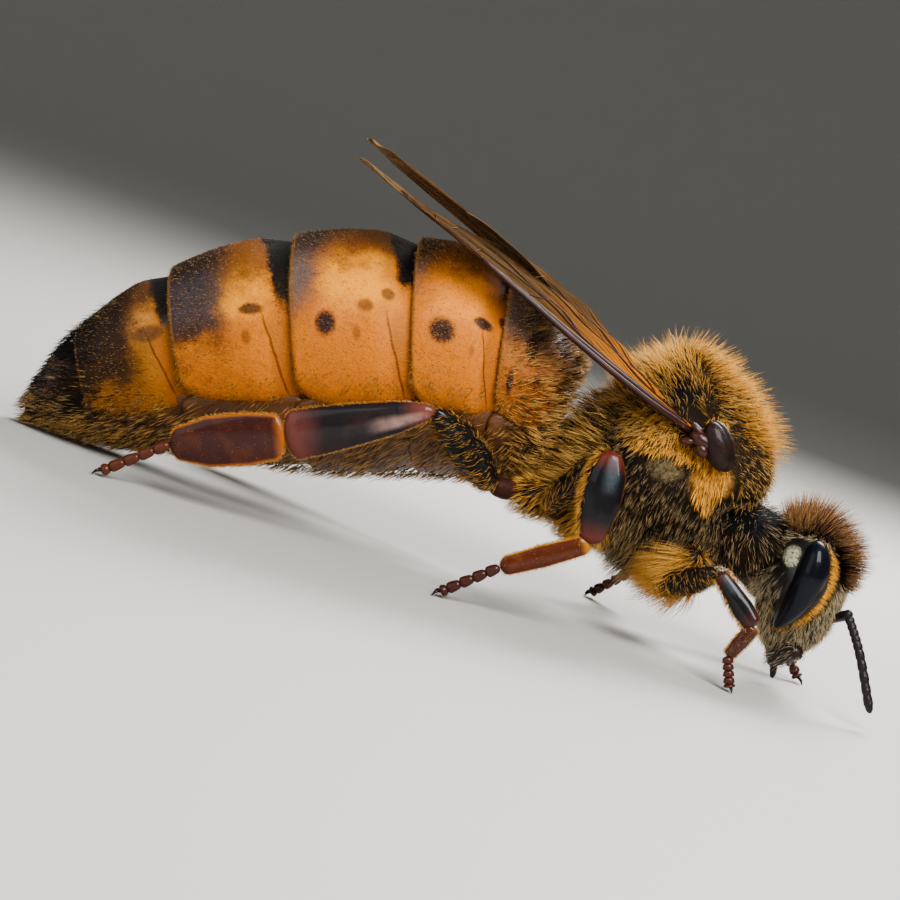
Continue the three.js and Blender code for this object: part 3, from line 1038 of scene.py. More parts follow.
@dataclass(frozen=True)
class PlateFinish(Finish):
    """Amber shell: a black patch in front, a downy dark band behind, dark spots, and painted highlights and sheen."""

    name: str
    start: float
    band_top: float = 0.6
    band_low: float = 0.9
    band_reach: float = 68.0
    patch: float = 0.3
    patch_reach: float = 50.0
    top: float = 24.0
    spots: tuple[Spot, ...] = ()
    amber: Colour = "b86000"
    # the colour of the painted highlight on the flank
    painted_highlight: Colour = "f29606"
    dusk: Colour = "6e3e16"
    apron: Colour = "8f4a0c"
    band: Colour = "2e2724"
    painted_band_sheen: Colour = "6a5a56"
    black: Colour = "09090c"
    gloom: float = 0.0

    def wire(self, shader: Shader) -> None:
        """Wires the finish into its shader."""
        along, angle, plate = shader.marks("lay")
        along, angle = along - self.start, angle * 180
        cloud, grit, speck = shader.noise(1.6, 4), shader.noise(14, 4, 0.7), shader.noise(34, 2, 0.8)
        soft = cloud * 0.8 + grit * 0.5 + speck * 0.45
        # the dark band behind, down to its reach, and the black patch in front
        front = angle * ((self.band_low - self.band_top) / self.band_reach) + self.band_top
        band = (along - front + soft * 0.4).rise(-0.12, 0.15) * (angle + soft * 56).fall(
            self.band_reach - 12, self.band_reach + 14)
        reach = self.patch * (1 - angle / self.patch_reach * 0.62)
        patch = (along - reach + soft * 0.16).fall(-0.03, 0.03) * (angle + soft * 28).fall(
            self.patch_reach - 6, self.patch_reach + 8)
        # painted highlights on the flank, golden and pink, at the angle where the key light's reflection falls
        highlight_zone = abs(angle - 52 + cloud * 36).fall(5, 23) * abs(along - 0.46 + cloud * 0.4).fall(0.12, 0.42)
        pink_highlight = abs(angle - 62 + cloud * 30).fall(5, 22) * abs(along - 0.62 + cloud * 0.3).fall(0.1, 0.34)
        painted_highlight = highlight_zone * (0.9 - grit.rise(0.0, 0.3) * 0.6 + speck * 0.3).held()
        # the dusky back, the brown skirt, the fine fold above it and the rim
        top = (angle + cloud * 40 + grit * 24 + speck * 20).fall(self.top, self.top + 24)
        skirt = angle.rise(62, 78) * (along + cloud * 0.1).fall(0.13, 0.2)
        fold = 1 - abs((along - 0.2 + (angle - 70) * 0.0035 + cloud * 0.05) / 0.013).rise(0.4, 1.2)
        fold = fold * angle.rise(62, 74) * angle.fall(104, 112)
        rim = (plate + speck * 0.02).rise(0.958, 0.972)
        colours = [
            ((cloud * 1.6).held() * 0.5, "c47808"), (grit.rise(0.0, 0.24) * 0.55, "6a3200"),
            (((angle - 84 + cloud * 40) / 30).rise(0.0, 1.0) * 0.3, "8a4400"),
            (shader.cells(20).fall(0.1, 0.3) * 0.3, "7c3c00"), (pink_highlight * 0.25, "d87a40"), (painted_highlight, self.painted_highlight),
            (top * 0.92, self.dusk), (skirt * 0.85, self.apron), (band * (speck * 0.7 + 0.94).held(), self.band),
            (patch, self.black), (fold * 0.75, "3e0d04"),
        ]
        for spot in self.spots:
            x, y = (along - spot.along) / spot.length, (angle - spot.angle) / spot.height
            mask = (x * x + y * y + grit * 1.6 + cloud * 0.6).fall(0.3, 1.5)
            colours.append((mask * spot.strength, "201117"))
        # painted sheen: the dark band is paler about 52 degrees from the back, where the key light's reflection falls
        colours.insert(-2, (band * abs(angle - 52).fall(8, 26) * 0.5, self.painted_band_sheen))
        colours.append((rim * 0.6, "94611f"))
        if self.gloom:
            colours.append((shader.noise(3, 2) * 0.3 + self.gloom, "120d0b"))
        downy = (band * 0.3 + top * 0.16 + 0.3 + grit * 0.14 - patch * 0.1).held()
        height = speck * 0.7 + shader.cells(17).rise(0.1, 0.5) * 0.5 + shader.noise(5, 2) * 2.0 + grit * 0.8
        shader.set(Base_Color=shader.layers(self.amber, *colours), Roughness=downy,
                   Normal=shader.bump(height, 0.013), Coat_Weight=(0.02 + patch * 0.3).held(), Coat_Roughness=0.22,
                   Specular_IOR_Level=0.25, Specular_Tint=(1.0, 0.5, 0.12), Subsurface_Weight=0.08,
                   Subsurface_Radius=(1.0, 0.4, 0.05), Subsurface_Scale=0.2 * MM)


@dataclass(frozen=True)
class HairFinish(Finish):
    """Hair that runs from a dark root to a paler tip, with dark hairs among the light."""

    name: str
    root: Colour
    tip: Colour
    dark: Colour = "15110f"
    dark_tip: Colour = "33271c"
    climb: Pair = (0.05, 0.6)

    def wire(self, shader: Shader) -> None:
        """Wires the finish into its shader."""
        rise, tone, dark = shader.marks("strand")
        light = shader.mix(rise.rise(*self.climb), self.root, self.tip)
        light = shader.mix((tone * 0.9 - 0.3).held(), light, tuple(0.3 * part for part in rgb(self.tip)))
        dusk = shader.mix(rise.rise(0.4, 1.0), self.dark, self.dark_tip)
        shader.set(Base_Color=shader.mix(dark, light, dusk), Roughness=0.5, Specular_IOR_Level=0.06)


@dataclass(frozen=True)
class ShellFinish(Finish):
    """Plain shell in one colour, clouded by a second and finely pitted."""

    name: str
    colour: Colour
    cloud: Colour
    roughness: float = 0.3
    coat: float = 0.3
    grain: float = 12.0
    depth: float = 0.01
    gleam: float = 0.3

    def wire(self, shader: Shader) -> None:
        """Wires the finish into its shader."""
        mottle = (shader.noise(2.2, 4) * 1.6 + 0.4).held()
        height = shader.noise(self.grain, 3, 0.7)
        shader.set(Base_Color=shader.mix(mottle, self.colour, self.cloud), Coat_Weight=self.coat,
                   Roughness=(height * 0.25 + self.roughness).held(), Coat_Roughness=0.15,
                   Specular_IOR_Level=self.gleam, Normal=shader.bump(height, self.depth))


@dataclass(frozen=True)
class EyeFinish(Finish):
    """The polished black of a compound eye, over its close rows of facets."""

    name: str = "eye facets"

    def wire(self, shader: Shader) -> None:
        """Wires the finish into its shader."""
        cells = shader.cells(26)
        sheen = (shader.noise(1.2, 1) + 0.5).held()
        shader.set(Base_Color=shader.mix(sheen, "040407", "0c0e16"), Roughness=0.3,
                   Specular_IOR_Level=0.04, Coat_Weight=0.17, Coat_Roughness=0.09,
                   Normal=shader.bump(cells * -1.0, 0.003))


@dataclass(frozen=True)
class MembraneFinish(Finish):
    """Smoky brown wing membrane: amber at the root, paler at the tip, streaked, wrinkled and hardly clear."""

    name: str = "wing membrane"

    def wire(self, shader: Shader) -> None:
        """Wires the finish into its shader."""
        along, back, _ = shader.marks("lay")
        root = along.fall(0.1, 0.46)
        ripple = shader.noise(2.5, 4)
        streaks = ((back * 60 + ripple * 6).maths("SINE") * 0.5 + 0.5) * 0.5
        tint = shader.mix(along.rise(0.6, 0.95), "503820", "7c6040")
        tint = shader.mix(root, tint, "b86800")
        tint = shader.mix((streaks * 1.5 + ripple * 1.4 - 0.1).held(), tint, "24160a")
        clear = (root * 0.2 + 0.76 + ripple * 0.4).held()
        shader.set(Base_Color=tint, Roughness=0.6, Alpha=clear, Specular_IOR_Level=0.0,
                   Normal=shader.bump(shader.noise(9, 2), 0.012))


@dataclass(frozen=True)
class VeinFinish(Finish):
    """Wing veins: near-black where they are thick, amber-brown where they are fine."""

    name: str = "wing vein"

    def wire(self, shader: Shader) -> None:
        """Wires the finish into its shader."""
        thick, along, _ = shader.marks("lay")
        fine = shader.mix(along.rise(0.2, 0.9), "2c1406", "1f1409")
        stout = shader.mix((shader.noise(1.5, 3) + 0.35).held(), "120908", "3e1c12")
        height = shader.noise(11, 3)
        shader.set(Base_Color=shader.mix(thick, fine, stout), Roughness=0.5, Specular_IOR_Level=0.02,
                   Coat_Weight=(thick * 0.15).held(), Coat_Roughness=0.15, Normal=shader.bump(height, 0.008))


class LegPart(Enum):
    """The joints of a leg, by the number that its finish reads."""

    COXA = 0.0
    TROCHANTER = 1.0
    FEMUR = 2.0
    TIBIA = 3.0
    BASITARSUS = 4.0
    TARSUS = 5.0
    CLAW = 6.0


@dataclass(frozen=True)
class LegFinish(Finish):
    """Glossy leg shell, with a colour for each joint, redder ends, a painted sheen on the tibia, and golden edges
    that are partly paler cuticle and partly painted rim light.
    """

    name: str
    femur: Colour
    tibia: Colour
    tibia_ends: Colour
    basitarsus: Colour
    # the edge colour: partly paler cuticle, partly painted rim light
    edge: Colour
    tarsus: Colour = "34160f"
    sheen: float = 0.0
    shine: Colour = "a88478"

    def wire(self, shader: Shader) -> None:
        """Wires the finish into its shader."""
        part, along, rim = shader.marks("lay")
        cloud = shader.noise(2.4, 4)
        ends = along.fall(0.04, 0.26).most(along.rise(0.7, 0.98) * 0.85)
        ends = (ends + cloud * 0.5).held()
        # the joint's edges: partly paler cuticle, partly painted rim light
        edges = abs(rim).rise(0.8, 1.0)
        tibia = shader.mix(ends, self.tibia, self.tibia_ends)
        plate = shader.mix((edges + along.fall(0.0, 0.12) * 0.6 + cloud * 0.3).held(), self.basitarsus, self.edge)
        # painted sheen: a pale reflection streak on the upper tibia, then a thin orange edge line of paler cuticle
        # and painted rim light
        sheen = abs(rim + 0.25).fall(0.1, 0.5) * along.rise(0.02, 0.1) * along.fall(0.3, 0.5)
        tibia = shader.layers(tibia, ((sheen * (cloud * 2 + 0.5)).held() * self.sheen, self.shine),
                              (abs(rim).rise(0.93, 1.0) * self.sheen, "8a4c0c"))
        colour = "15100d"
        for before, own in enumerate(("2c150e", self.femur, tibia, plate, self.tarsus, "140806")):
            colour = shader.mix(part.rise(before + 0.4, before + 0.6), colour, own)
        height = shader.noise(16, 3, 0.7) + shader.noise(4, 2) * 0.8
        shader.set(Base_Color=colour, Roughness=(cloud * 0.3 + 0.42).held(), Coat_Weight=part.rise(1.4, 1.6) * 0.3,
                   Coat_Roughness=0.12, Specular_IOR_Level=0.05, Normal=shader.bump(height, 0.014))


@dataclass(frozen=True)
class HeadFinish(Finish):
    """Black head shell: smoother behind the eye, with a painted speckled highlight there, dull elsewhere."""

    name: str = "head shell"

    def wire(self, shader: Shader) -> None:
        """Wires the finish into its shader."""
        cheek = shader.close_to((6.9, 1.35, 3.05), (0.5, 0.9, 0.8))
        grain = shader.noise(22, 3, 0.7)
        # painted highlight: a pale speckled glint on the glossy cheek behind the eye
        glint = shader.close_to((6.95, 1.5, 3.12), (0.26, 0.6, 0.32)) * (grain * 3 + 0.9)
        base = shader.layers("1a130d", (cheek, "060608"), (glint.rise(0.35, 1.3) * 0.9, "aaa988"))
        rough = (0.62 - cheek * 0.25).held()
        shader.set(Base_Color=base, Roughness=rough, Coat_Weight=(cheek * 0.15).held(), Coat_Roughness=0.15,
                   Specular_IOR_Level=0.3, Normal=shader.bump(grain, 0.01))


@dataclass(frozen=True)
class TrunkFinish(Finish):
    """Dark, dull thorax shell: blacker where it is bald, with a pale grey patch below the wing and gilt under the
    tegula.
    """

    name: str = "thorax shell"

    def wire(self, shader: Shader) -> None:
        """Wires the finish into its shader."""
        grain = shader.noise(9, 4, 0.7)
        bald = shader.close_to((3.45, 0.9, 5.55), (0.6, 0.9, 0.5)).most(
            shader.close_to((5.95, 0.7, 3.45), (1.0, 1.4, 0.5)))
        grey_patch = shader.close_to((3.75, 2.0, 3.98), (0.46, 0.6, 0.3)) * (grain * 2 + 0.9)
        gilt = shader.close_to((4.85, 1.95, 3.98), (0.5, 0.6, 0.5)) * (grain * 2 + 0.7)
        base = shader.mix((grain + 0.5).held(), "120e0b", "241a10")
        base = shader.layers(base, (bald, "0a090b"), (grey_patch.rise(0.3, 1.8) * 0.8, "8f7c54"),
                             (gilt * 0.85, "d08c30"))
        shader.set(Base_Color=base, Roughness=0.7, Specular_IOR_Level=0.02, Normal=shader.bump(grain, 0.03))


@dataclass(frozen=True)
class FeelerFinish(Finish):
    """Dark feeler with a pale pore on each of its joints."""

    name: str = "feeler shell"

    def wire(self, shader: Shader) -> None:
        """Wires the finish into its shader."""
        part, along, around = shader.marks("lay")
        beat = (along * (FEELER_JOINTS * 2 * math.pi)).maths("COSINE")
        pores = beat.rise(0.86, 0.97) * abs(around - 0.5).fall(0.03, 0.06) * part.rise(0.5, 0.6)
        mottle = (shader.noise(5, 3) + 0.4).held()
        base = shader.mix(mottle, "0e0a0a", "1b1213")
        shader.set(Base_Color=shader.mix(pores.held(), base, "9a9088"), Roughness=0.45,
                   Specular_IOR_Level=0.15, Coat_Weight=0.05, Coat_Roughness=0.2,
                   Normal=shader.bump(shader.noise(30, 2), 0.006))


@dataclass(frozen=True)
class GroundFinish(Finish):
    """The plain pale floor."""

    name: str = "pale floor"

    def wire(self, shader: Shader) -> None:
        """Wires the finish into its shader."""
        shader.set(Base_Color="b2afa9", Roughness=0.9)


# ---------------------------------------------------------------- the bee


def blend_ways(points: Points, *ways: tuple[Shares, Floats]) -> Points:
    """Blends directions of lie, each by its own share."""
    total = np.zeros_like(points)
    for share, way in ways:
        total += np.asarray(share)[:, None] * np.array(way, float)
    total[:, 1] *= np.sign(points[:, 1])
    return total


@dataclass
class Thorax:
    """The thorax with its neck and waist, its fur, and the tegulae over the wing roots."""

    outline: tuple[Pair, ...] = (
        (6.42, 4.05), (6.2, 5.02), (5.55, 5.8), (4.7, 6.42), (3.6, 6.74), (2.68, 6.36), (2.06, 5.5), (1.72, 4.4),
        (1.5, 3.3), (1.5, 2.4), (2.1, 1.75), (3.2, 1.48), (4.4, 1.42), (5.3, 1.85), (6.05, 2.85))
    centre: Pair = (3.9, 4.0)
    half_width: float = 2.28
    coat: float = 0.42
    collar: Place = (5.95, 0.8, 3.45)
    groove_path: tuple[Place, ...] = ((2.85, 0.0, 5.95), (3.47, 0.8, 5.5), (4.04, 1.5, 5.16))
    groove_reach: float = 0.3
    fur_counts: dict[str, int] = field(default_factory=lambda: {
        "back": 6000, "rear": 3000, "side": 10000, "under": 5000, "down": 14000, "gilt": 2400, "collar": 700,
        "throat": 2000, "bridge": 2400, "halo": 2000, "petiole": 2200})

    def groove(self, points: Points) -> Shares:
        """Says how near a place is to the groove behind the scutum."""
        path = Curve(self.groove_path).at(np.linspace(0, 1, 7))
        return np.max([near(points, place, self.groove_reach) for place in path], axis=0)

    def relief(self, points: Points) -> Shares:
        """Sinks the groove behind the scutum, the wing hollow and the collar into the shell."""
        collar = near(points, self.collar, (0.9, 1.5, 0.42))
        hollow = near(points, (3.95, 2.0, 4.55), (0.6, 0.5, 0.3))
        return 0.1 - 0.2 * self.groove(points) - 0.42 * collar - 0.12 * hollow

    def shell(self) -> OutlineBody:
        """Gives the thorax's shell under its coat."""
        return OutlineBody(self.outline, self.centre, self.half_width, self.coat, relief=self.relief)

    def bare(self, points: Points) -> Shares:
        """Says how bald the shell is: in the groove, at the tegulae, below the wing and at the collar."""
        tegula = near(points, (4.5, 2.1, 4.78), (0.52, 0.7, 0.66)) * 1.5
        grey_patch = near(points, (3.78, 1.9, 3.98), (0.44, 0.7, 0.26)) * 1.15
        collar = near(points, self.collar, (0.95, 1.5, 0.4)) * 1.5
        hollow = near(points, (3.66, 1.1, 5.42), (0.3, 0.6, 0.4)) * 1.5
        return np.clip(self.groove(points) * 1.7 + hollow + tegula + grey_patch + collar, 0, 1)

    def dome(self, points: Points) -> Shares:
        """Says whether a place lies on the scutum's flank, where the coat is short."""
        flank = ease(points[:, 2], 5.75, 5.2) * ease(points[:, 2], 3.6, 4.1)
        return flank * ease(points[:, 0], 4.5, 4.8)

    def lie(self, points: Points) -> Points:
        """Combs the fur: forwards on the scutum, back and down on the sides, back over the rear."""
        x, z = points[:, 0], points[:, 2]
        high = ease(z, 3.9, 4.4) * ease(x, 4.4, 4.8) + (1 - ease(x, 4.4, 4.8)) * ease(z, 4.6, 5.2)
        fore = ease(x - 0.85 * np.abs(points[:, 1]), 2.75, 3.5)
        front = ease(x, 4.7, 5.3)
        low = ease(z, 4.5, 3.7) * ease(x, 2.2, 3.0)
        side = (1 - high) * (1 - front)
        return blend_ways(points, (high * fore, (0.8, 0.25, -0.35)), (high * (1 - fore), (-0.55, 0.2, 0.3)),
                          ((1 - high) * front, (-0.1, 0.1, -0.9)), (side * (1 - low), (-0.8, 0.15, -0.6)),
                          (side * low, (-0.12, 0.1, -1.0)))

    def build(self) -> None:
        """Builds the shell, the fur and the tegulae."""
        body = self.shell()
        neck = Limb((5.1, 0, 2.95), (7.05, 0, 2.95), (0.6, 0.82, 0.6), (0.8, 1.15, 0.8), blunt=0.5)
        waist = Limb((0.7, 0, 3.38), (2.3, 0, 3.3), (0.42, 0.34, 0.42), (0.46, 0.36, 0.46))
        shell("thorax_shell", [(body, (96, 64)), (neck, (32, 16)), (waist, (32, 12))], TrunkFinish().build(),
              Slot("fur", ("thorax", "neck", "petiole")))
        golden = HairFinish("thorax hair", "1a120a", "e4ac50", climb=(0.2, 0.85)).build()
        streaked = HairFinish("side hair", "0b0907", "eec284", "080807", "1e1a15",
                              (0.42, 1.0)).build()
        brown = HairFinish("thorax down", "2a1e14", "735633", climb=(0.0, 0.8)).build()
        bright = HairFinish("gilt hair", "c47818", "f8ae38", climb=(0.0, 0.5)).build()

        n = self.fur_counts
        bald, flank = by_place(self.bare), by_place(self.dome)
        top = Z.ease(4.3, 4.9) * (1 - flank) + flank * (0.12 + 0.4 * X.ease(5.0, 5.6))
        fur("thorax_fur_back", golden,
            Coat(body, n["back"], 0.5 - 0.2 * flank, self.lie, top * (1 - bald), 0.05, 0.012, stand=0.7,
                 droop=0.35, seed=11, gather=0.25, uneven=0.6))
        rear = X.ease(2.7, 2.2) * Z.ease(5.2, 4.7) * Z.ease(2.1, 2.6)
        bridge = X.ease(2.7, 2.3) * Z.ease(4.8, 4.5) * Z.ease(2.6, 3.0)
        fur("thorax_fur_rear", golden,
            Coat(body, n["rear"], 0.7 + 0.5 * Z.ease(4.0, 3.0), (-1.0, 0.3, 0.0), rear, 0.35, 0.014, stand=0.6,
                 seed=16, gather=0.5, tuft=9, uneven=0.5),
            Coat(body, n["bridge"], 1.05, (-1.0, 0.1, -0.15), bridge, 0.45, 0.016, stand=0.9, droop=0.05, seed=19,
                 gather=0.4, tuft=9, uneven=0.5),
            Coat(waist, n["petiole"], 0.85, (0.15, 0.2, 0.5), shade=0.5, stand=0.95, droop=0.1, seed=10, rings=2,
                 gather=0.3, uneven=0.4, tile=(0.0, 0.0, 0.3, 0.2)))
        side = (Z.ease(5.2, 4.7) * (1 - X.ease(4.5, 4.8) * Z.ease(3.7, 4.0)) * Z.ease(1.7, 2.2) * (1 - bald)
                * (1 - 0.9 * close((4.8, 1.95, 3.95), (0.4, 0.8, 0.5))))
        side_length = (0.34 + 0.28 * X.ease(3.4, 2.4) + 0.2 * Z.ease(3.4, 2.4)) * (
            1 - 0.6 * close((3.9, 1.9, 4.15), (0.8, 0.9, 0.45)))
        fur("thorax_fur_side", streaked,
            Coat(body, n["side"], side_length, self.lie, side, 0.45 - 0.4 * close((2.7, 1.9, 4.5), (1.1, 1.4, 0.8)),
                 0.013, stand=0.42, droop=0.7, seed=12, clump=0.12, gather=0.55, tuft=8, unruly=0.12))
        beard_length = 0.45 + 0.8 * close((3.9, 0.9, 1.8), (0.8, 1.0, 0.5))
        fur("thorax_fur_under", streaked,
            Coat(body, n["under"], beard_length, (-0.2, 0.0, -1.0), Z.ease(3.0, 2.2), 0.2, 0.013, droop=0.6,
                 seed=13, clump=0.12, gather=0.5, tuft=9),
            Coat(body, n["collar"], 0.24, (0.2, 0.3, 0.6), close(self.collar, (0.9, 1.5, 0.4)), 1.0, 0.013,
                 stand=0.4, droop=0.9, unruly=0.5, seed=17),
            Coat(neck, n["throat"], 0.42, (0.3, 0.3, -0.8), shade=0.3, width=0.013, droop=0.6, seed=18,
                 gather=0.4))
        patches = (close((4.8, 1.95, 4.02), (0.2, 0.8, 0.4)) + close((4.6, 2.0, 5.3), (0.22, 0.5, 0.14))
                   + close((4.15, 2.0, 4.5), (0.3, 0.6, 0.14)) * 0.8 + close((3.1, 2.0, 4.7), (0.5, 0.8, 0.3)))
        halo = Z.ease(4.6, 5.4) * (1 - bald) * abs(Y).ease(1.5, 0.7)
        fur("thorax_gilt", bright,
            Coat(body, n["gilt"], 0.34, (-0.1, 0.1, -1.0), patches, 0.0, 0.018, stand=0.45, droop=0.6, seed=14,
                 gather=0.4, tuft=9),
            Coat(body, n["halo"], 0.66, self.lie, halo, 0.0, 0.01, stand=0.85, droop=0.3, seed=20, uneven=0.5,
                 unruly=0.14))
        down = (0.12 + 0.88 * Z.ease(3.9, 4.3) * X.ease(3.6, 4.6)) * (1 - 0.95 * bald)
        fur("thorax_down", brown,
            Coat(body, n["down"], 0.13, self.lie, down, 0.15, 0.014, stand=0.35, droop=0.7, rings=1, seed=15))
        self.build_tegulae()

    def build_tegulae(self) -> None:
        """Builds the glossy scale over each wing's root, and the small plates behind it."""
        gloss = ShellFinish("tegula shell", "080505", "261009", 0.45, 0.14, 14.0, 0.02, 0.08).build()
        ruddy = ShellFinish("wing root plates", "1c0a07", "461a0e", 0.3, 0.3, 5.0, 0.03, 0.1).build()
        for word, side in SIDES.items():
            x, y, z = TEGULA_CENTRE
            scale = Egg((x + 0.04, y - 0.02, z), (0.29, 0.24, 0.55), side, lean=-0.6)
            rim = Egg((x + 0.1, y - 0.08, z + 0.02), (0.31, 0.2, 0.57), side, lean=-0.6)
            knobs = [Egg((4.27, 2.16, 4.84), (0.29, 0.16, 0.17), side, lean=0.3),
                     Egg((4.0, 2.14, 4.73), (0.2, 0.12, 0.09), side, lean=-0.3),
                     Egg((4.34, 2.2, 4.64), (0.17, 0.12, 0.14), side, lean=0.5),
                     Egg((4.14, 2.14, 5.02), (0.24, 0.12, 0.08), side, lean=0.5)]
            shell(f"tegula_scale_{word}", [(scale, (32, 20)), (rim, (32, 20))], gloss,
                  Slot("dark_shell", (f"tegula_{word}",)))
            shell(f"wing_root_plates_{word}", [(knob, (16, 10)) for knob in knobs], ruddy, Slot("dark_shell"))


@dataclass
class Head:
    """The head: shell, eyes, ocelli, feelers, jaws, tongue and its hair."""

    outline: tuple[Pair, ...] = (
        (8.42, 2.5), (8.28, 3.05), (7.95, 3.5), (7.5, 3.78), (7.05, 3.68), (6.74, 3.36), (6.58, 2.85), (6.62, 2.2),
        (6.84, 1.5), (7.16, 0.98), (7.66, 0.74), (8.04, 1.1), (8.34, 1.8))
    centre: Pair = (7.5, 2.5)
    half_width: float = 1.66
    eye: Place = (7.46, 1.42, 2.5)
    eye_half: Place = (0.36, 0.42, 1.06)
    eye_lean: float = 0.14
    eye_bow: float = 0.17
    eye_taper: float = 0.28
    feeler_root: Place = (8.28, 0.36, 1.86)

    def narrowing(self, points: Points) -> Shares:
        """Narrows the head to its crown and its jaws."""
        z = points[..., 2]
        return 1 - 0.22 * ease(z, 2.7, 3.9) - 0.42 * ease(z, 2.4, 0.6)

    def relief(self, points: Points) -> Shares:
        """Swells the cheek and the face shield, and sinks the feeler sockets."""
        cheek = near(points, (6.9, 1.3, 3.0), (0.4, 0.6, 0.8))
        shield = near(points, (8.25, 0.0, 1.5), (0.5, 0.7, 0.5))
        socket = near(points, (8.36, 0.36, 2.0), (0.2, 0.2, 0.2))
        return 0.12 * cheek + 0.1 * shield - 0.12 * socket

    def shell(self) -> OutlineBody:
        """Gives the head's shell under its coat."""
        return OutlineBody(self.outline, self.centre, self.half_width, 0.0, self.narrowing, self.relief)

    def eye_body(self, side: float) -> Egg:
        """Gives one eye."""
        return Egg(self.eye, self.eye_half, side, self.eye_lean, self.eye_bow, self.eye_taper)

    def eye_ring(self, points: Points) -> tuple[Shares, Shares]:
        """Measures places against the eye's outline in the side view.

        Args:
            points: Places on the head.

        Returns:
            How far out each lies, 1 being the outline, and its signed distance before the eye's middle line.
        """
        x, _, z = self.eye
        c, s = math.cos(self.eye_lean), math.sin(self.eye_lean)
        ahead, rise = points[:, 0] - x, points[:, 2] - z
        ahead, rise = c * ahead - s * rise, (s * ahead + c * rise) / self.eye_half[2]
        ahead = ahead + self.eye_bow * rise * rise
        girth = self.eye_half[0] * (1 + self.eye_taper * np.clip(rise, -1, 1))
        return np.sqrt((ahead / girth) ** 2 + rise ** 2), ahead

    def eye_gap(self, points: Points) -> Shares:
        """Gives the distance of places outside the eye's outline, in mm, large on the crown and the face."""
        ring, ahead = self.eye_ring(points)
        rise = (points[:, 2] - self.eye[2]) / self.eye_half[2] ** 2
        slope = np.sqrt((ahead * (1 / self.eye_half[0]) ** 2) ** 2 + rise ** 2)
        return (ring - 1) * ring / np.maximum(slope, 0.3) + 2 * ease(np.abs(points[:, 1]), 0.9, 0.6)

    def from_eye(self, points: Points) -> Points:
        """Gives the way that leads straight out from the eye's outline."""
        steps = ((0.02, 0.0, 0.0), (0.0, 0.0, 0.02))
        here = self.eye_ring(points)[0]
        across, up = (self.eye_ring(points + np.array(step))[0] - here for step in steps)
        return unit(np.stack([across, 0.3 * np.sign(points[:, 1]) * np.hypot(across, up), up], axis=1))

    def build(self) -> None:
        """Builds all of the head."""
        body = self.shell()
        shell("head_shell", [(body, (96, 64))], HeadFinish().build(), Slot("fur", ("head",)))
        facets = EyeFinish().build()
        for word, side in SIDES.items():
            shell(f"eye_dome_{word}", [(self.eye_body(side), (48, 40))], facets, Slot("eye", (f"eye_{word}",)))
            self.build_feeler(word, side)
        self.build_mouth()
        self.build_ocelli()
        self.build_hair(body)

    def build_ocelli(self) -> None:
        """Builds the three small eyes on the crown."""
        beads = [Egg((7.78, 0.0, 3.66), (0.1, 0.1, 0.08)), Egg((7.52, 0.22, 3.8), (0.1, 0.1, 0.08)),
                 Egg((7.52, 0.22, 3.8), (0.1, 0.1, 0.08), -1.0)]
        finish = ShellFinish("ocellus", "1a0c08", "5a2a18", 0.1, 0.9, 4.0, 0.002).build()
        shell("ocelli", [(bead, (16, 12)) for bead in beads], finish, Slot("eye"))

    def build_feeler(self, word: str, side: float) -> None:
        """Builds one feeler: scape, elbow and jointed flagellum."""
        elbow, bend, tip = {
            "right": ((8.56, 1.12, 2.24), (9.02, 1.3, 1.6), (9.68, 1.5, 0.42)),
            "left": ((8.3, 1.5, 2.3), (8.3, 2.4, 1.9), (8.12, 3.3, 1.02)),
        }[word]

        def at_side(*places: Place) -> tuple[Place, ...]:
            """Puts places on this side of the bee."""
            return tuple((x, y * side, z) for x, y, z in places)

        knee = tuple(0.5 * (a + b) for a, b in zip(self.feeler_root, elbow))
        scape = Rod(at_side(self.feeler_root, knee, elbow), (0.1, 0.085, 0.1, 0.11, 0.12, 0.1))
        ring = (0.098, 0.106, 0.106, 0.106, 0.09)
        waist = (0.07, 0.075, 0.085) + ring * FEELER_JOINTS + (0.085, 0.07, 0.03)
        flagellum = Rod(at_side(elbow, bend, tip), waist, 1.0)
        knob = Egg(elbow, (0.11, 0.11, 0.11), side)
        shell(f"feeler_{word}", [(scape, (16, 24)), (flagellum, (16, 110)), (knob, (16, 10))],
              FeelerFinish().build(),
              Slot("dark_shell", (f"antenna_{word}_scape", f"antenna_{word}_flagellum")))

    def jaw(self, side: float) -> Limb:
        """Gives one jaw."""
        return Limb((7.9, 0.8, 1.12), (7.4, 0.22, 0.5), (0.24, 0.27, 0.24, 0.1), (0.2, 0.16, 0.13, 0.07), side,
                    bow=0.12, blunt=0.6)

    def build_mouth(self) -> None:
        """Builds the jaws and the folded tongue."""
        horn = ShellFinish("jaw horn", "0a0605", "220d08", 0.4, 0.1, 8.0, 0.02, 0.15).build()
        for word, side in SIDES.items():
            shell(f"jaw_{word}", [(self.jaw(side), (24, 24))], horn, Slot("dark_shell", (f"mandible_{word}",)))
        lip = Limb((7.98, 0, 1.02), (7.72, 0, 0.62), (0.1, 0.12, 0.08), (0.5, 0.46, 0.3), blunt=0.4)
        tongue = Limb((7.1, 0, 1.2), (7.62, 0, 0.2), (0.22, 0.16, 0.1, 0.07), (0.24, 0.2, 0.12, 0.07), bow=-0.1)
        shell("tongue_and_lip", [(tongue, (20, 24)), (lip, (24, 16))], horn, Slot("dark_shell", ("tongue",)))

    def outwards(self, points: Points) -> Points:
        """Fans the crown's tuft forwards and outwards."""
        return blend_ways(points, (np.ones(len(points)), (0.7, 0.5, -0.2)))

    def build_hair(self, body: OutlineBody) -> None:
        """Grows the crown's tuft, the orange rim of the eye, and the face's and cheeks' short hair."""
        russet = HairFinish("crown hair", "1c0f0b", "94683a", "120b09", "4a2a1a",
                            (0.15, 1.0)).build()
        orange = HairFinish("eye rim hair", "8a5206", "e49c24", climb=(0.0, 0.4)).build()
        ashen = HairFinish("face hair", "14100a", "f0d6a4", "0c0b09", "2c261d",
                           (0.2, 0.8)).build()

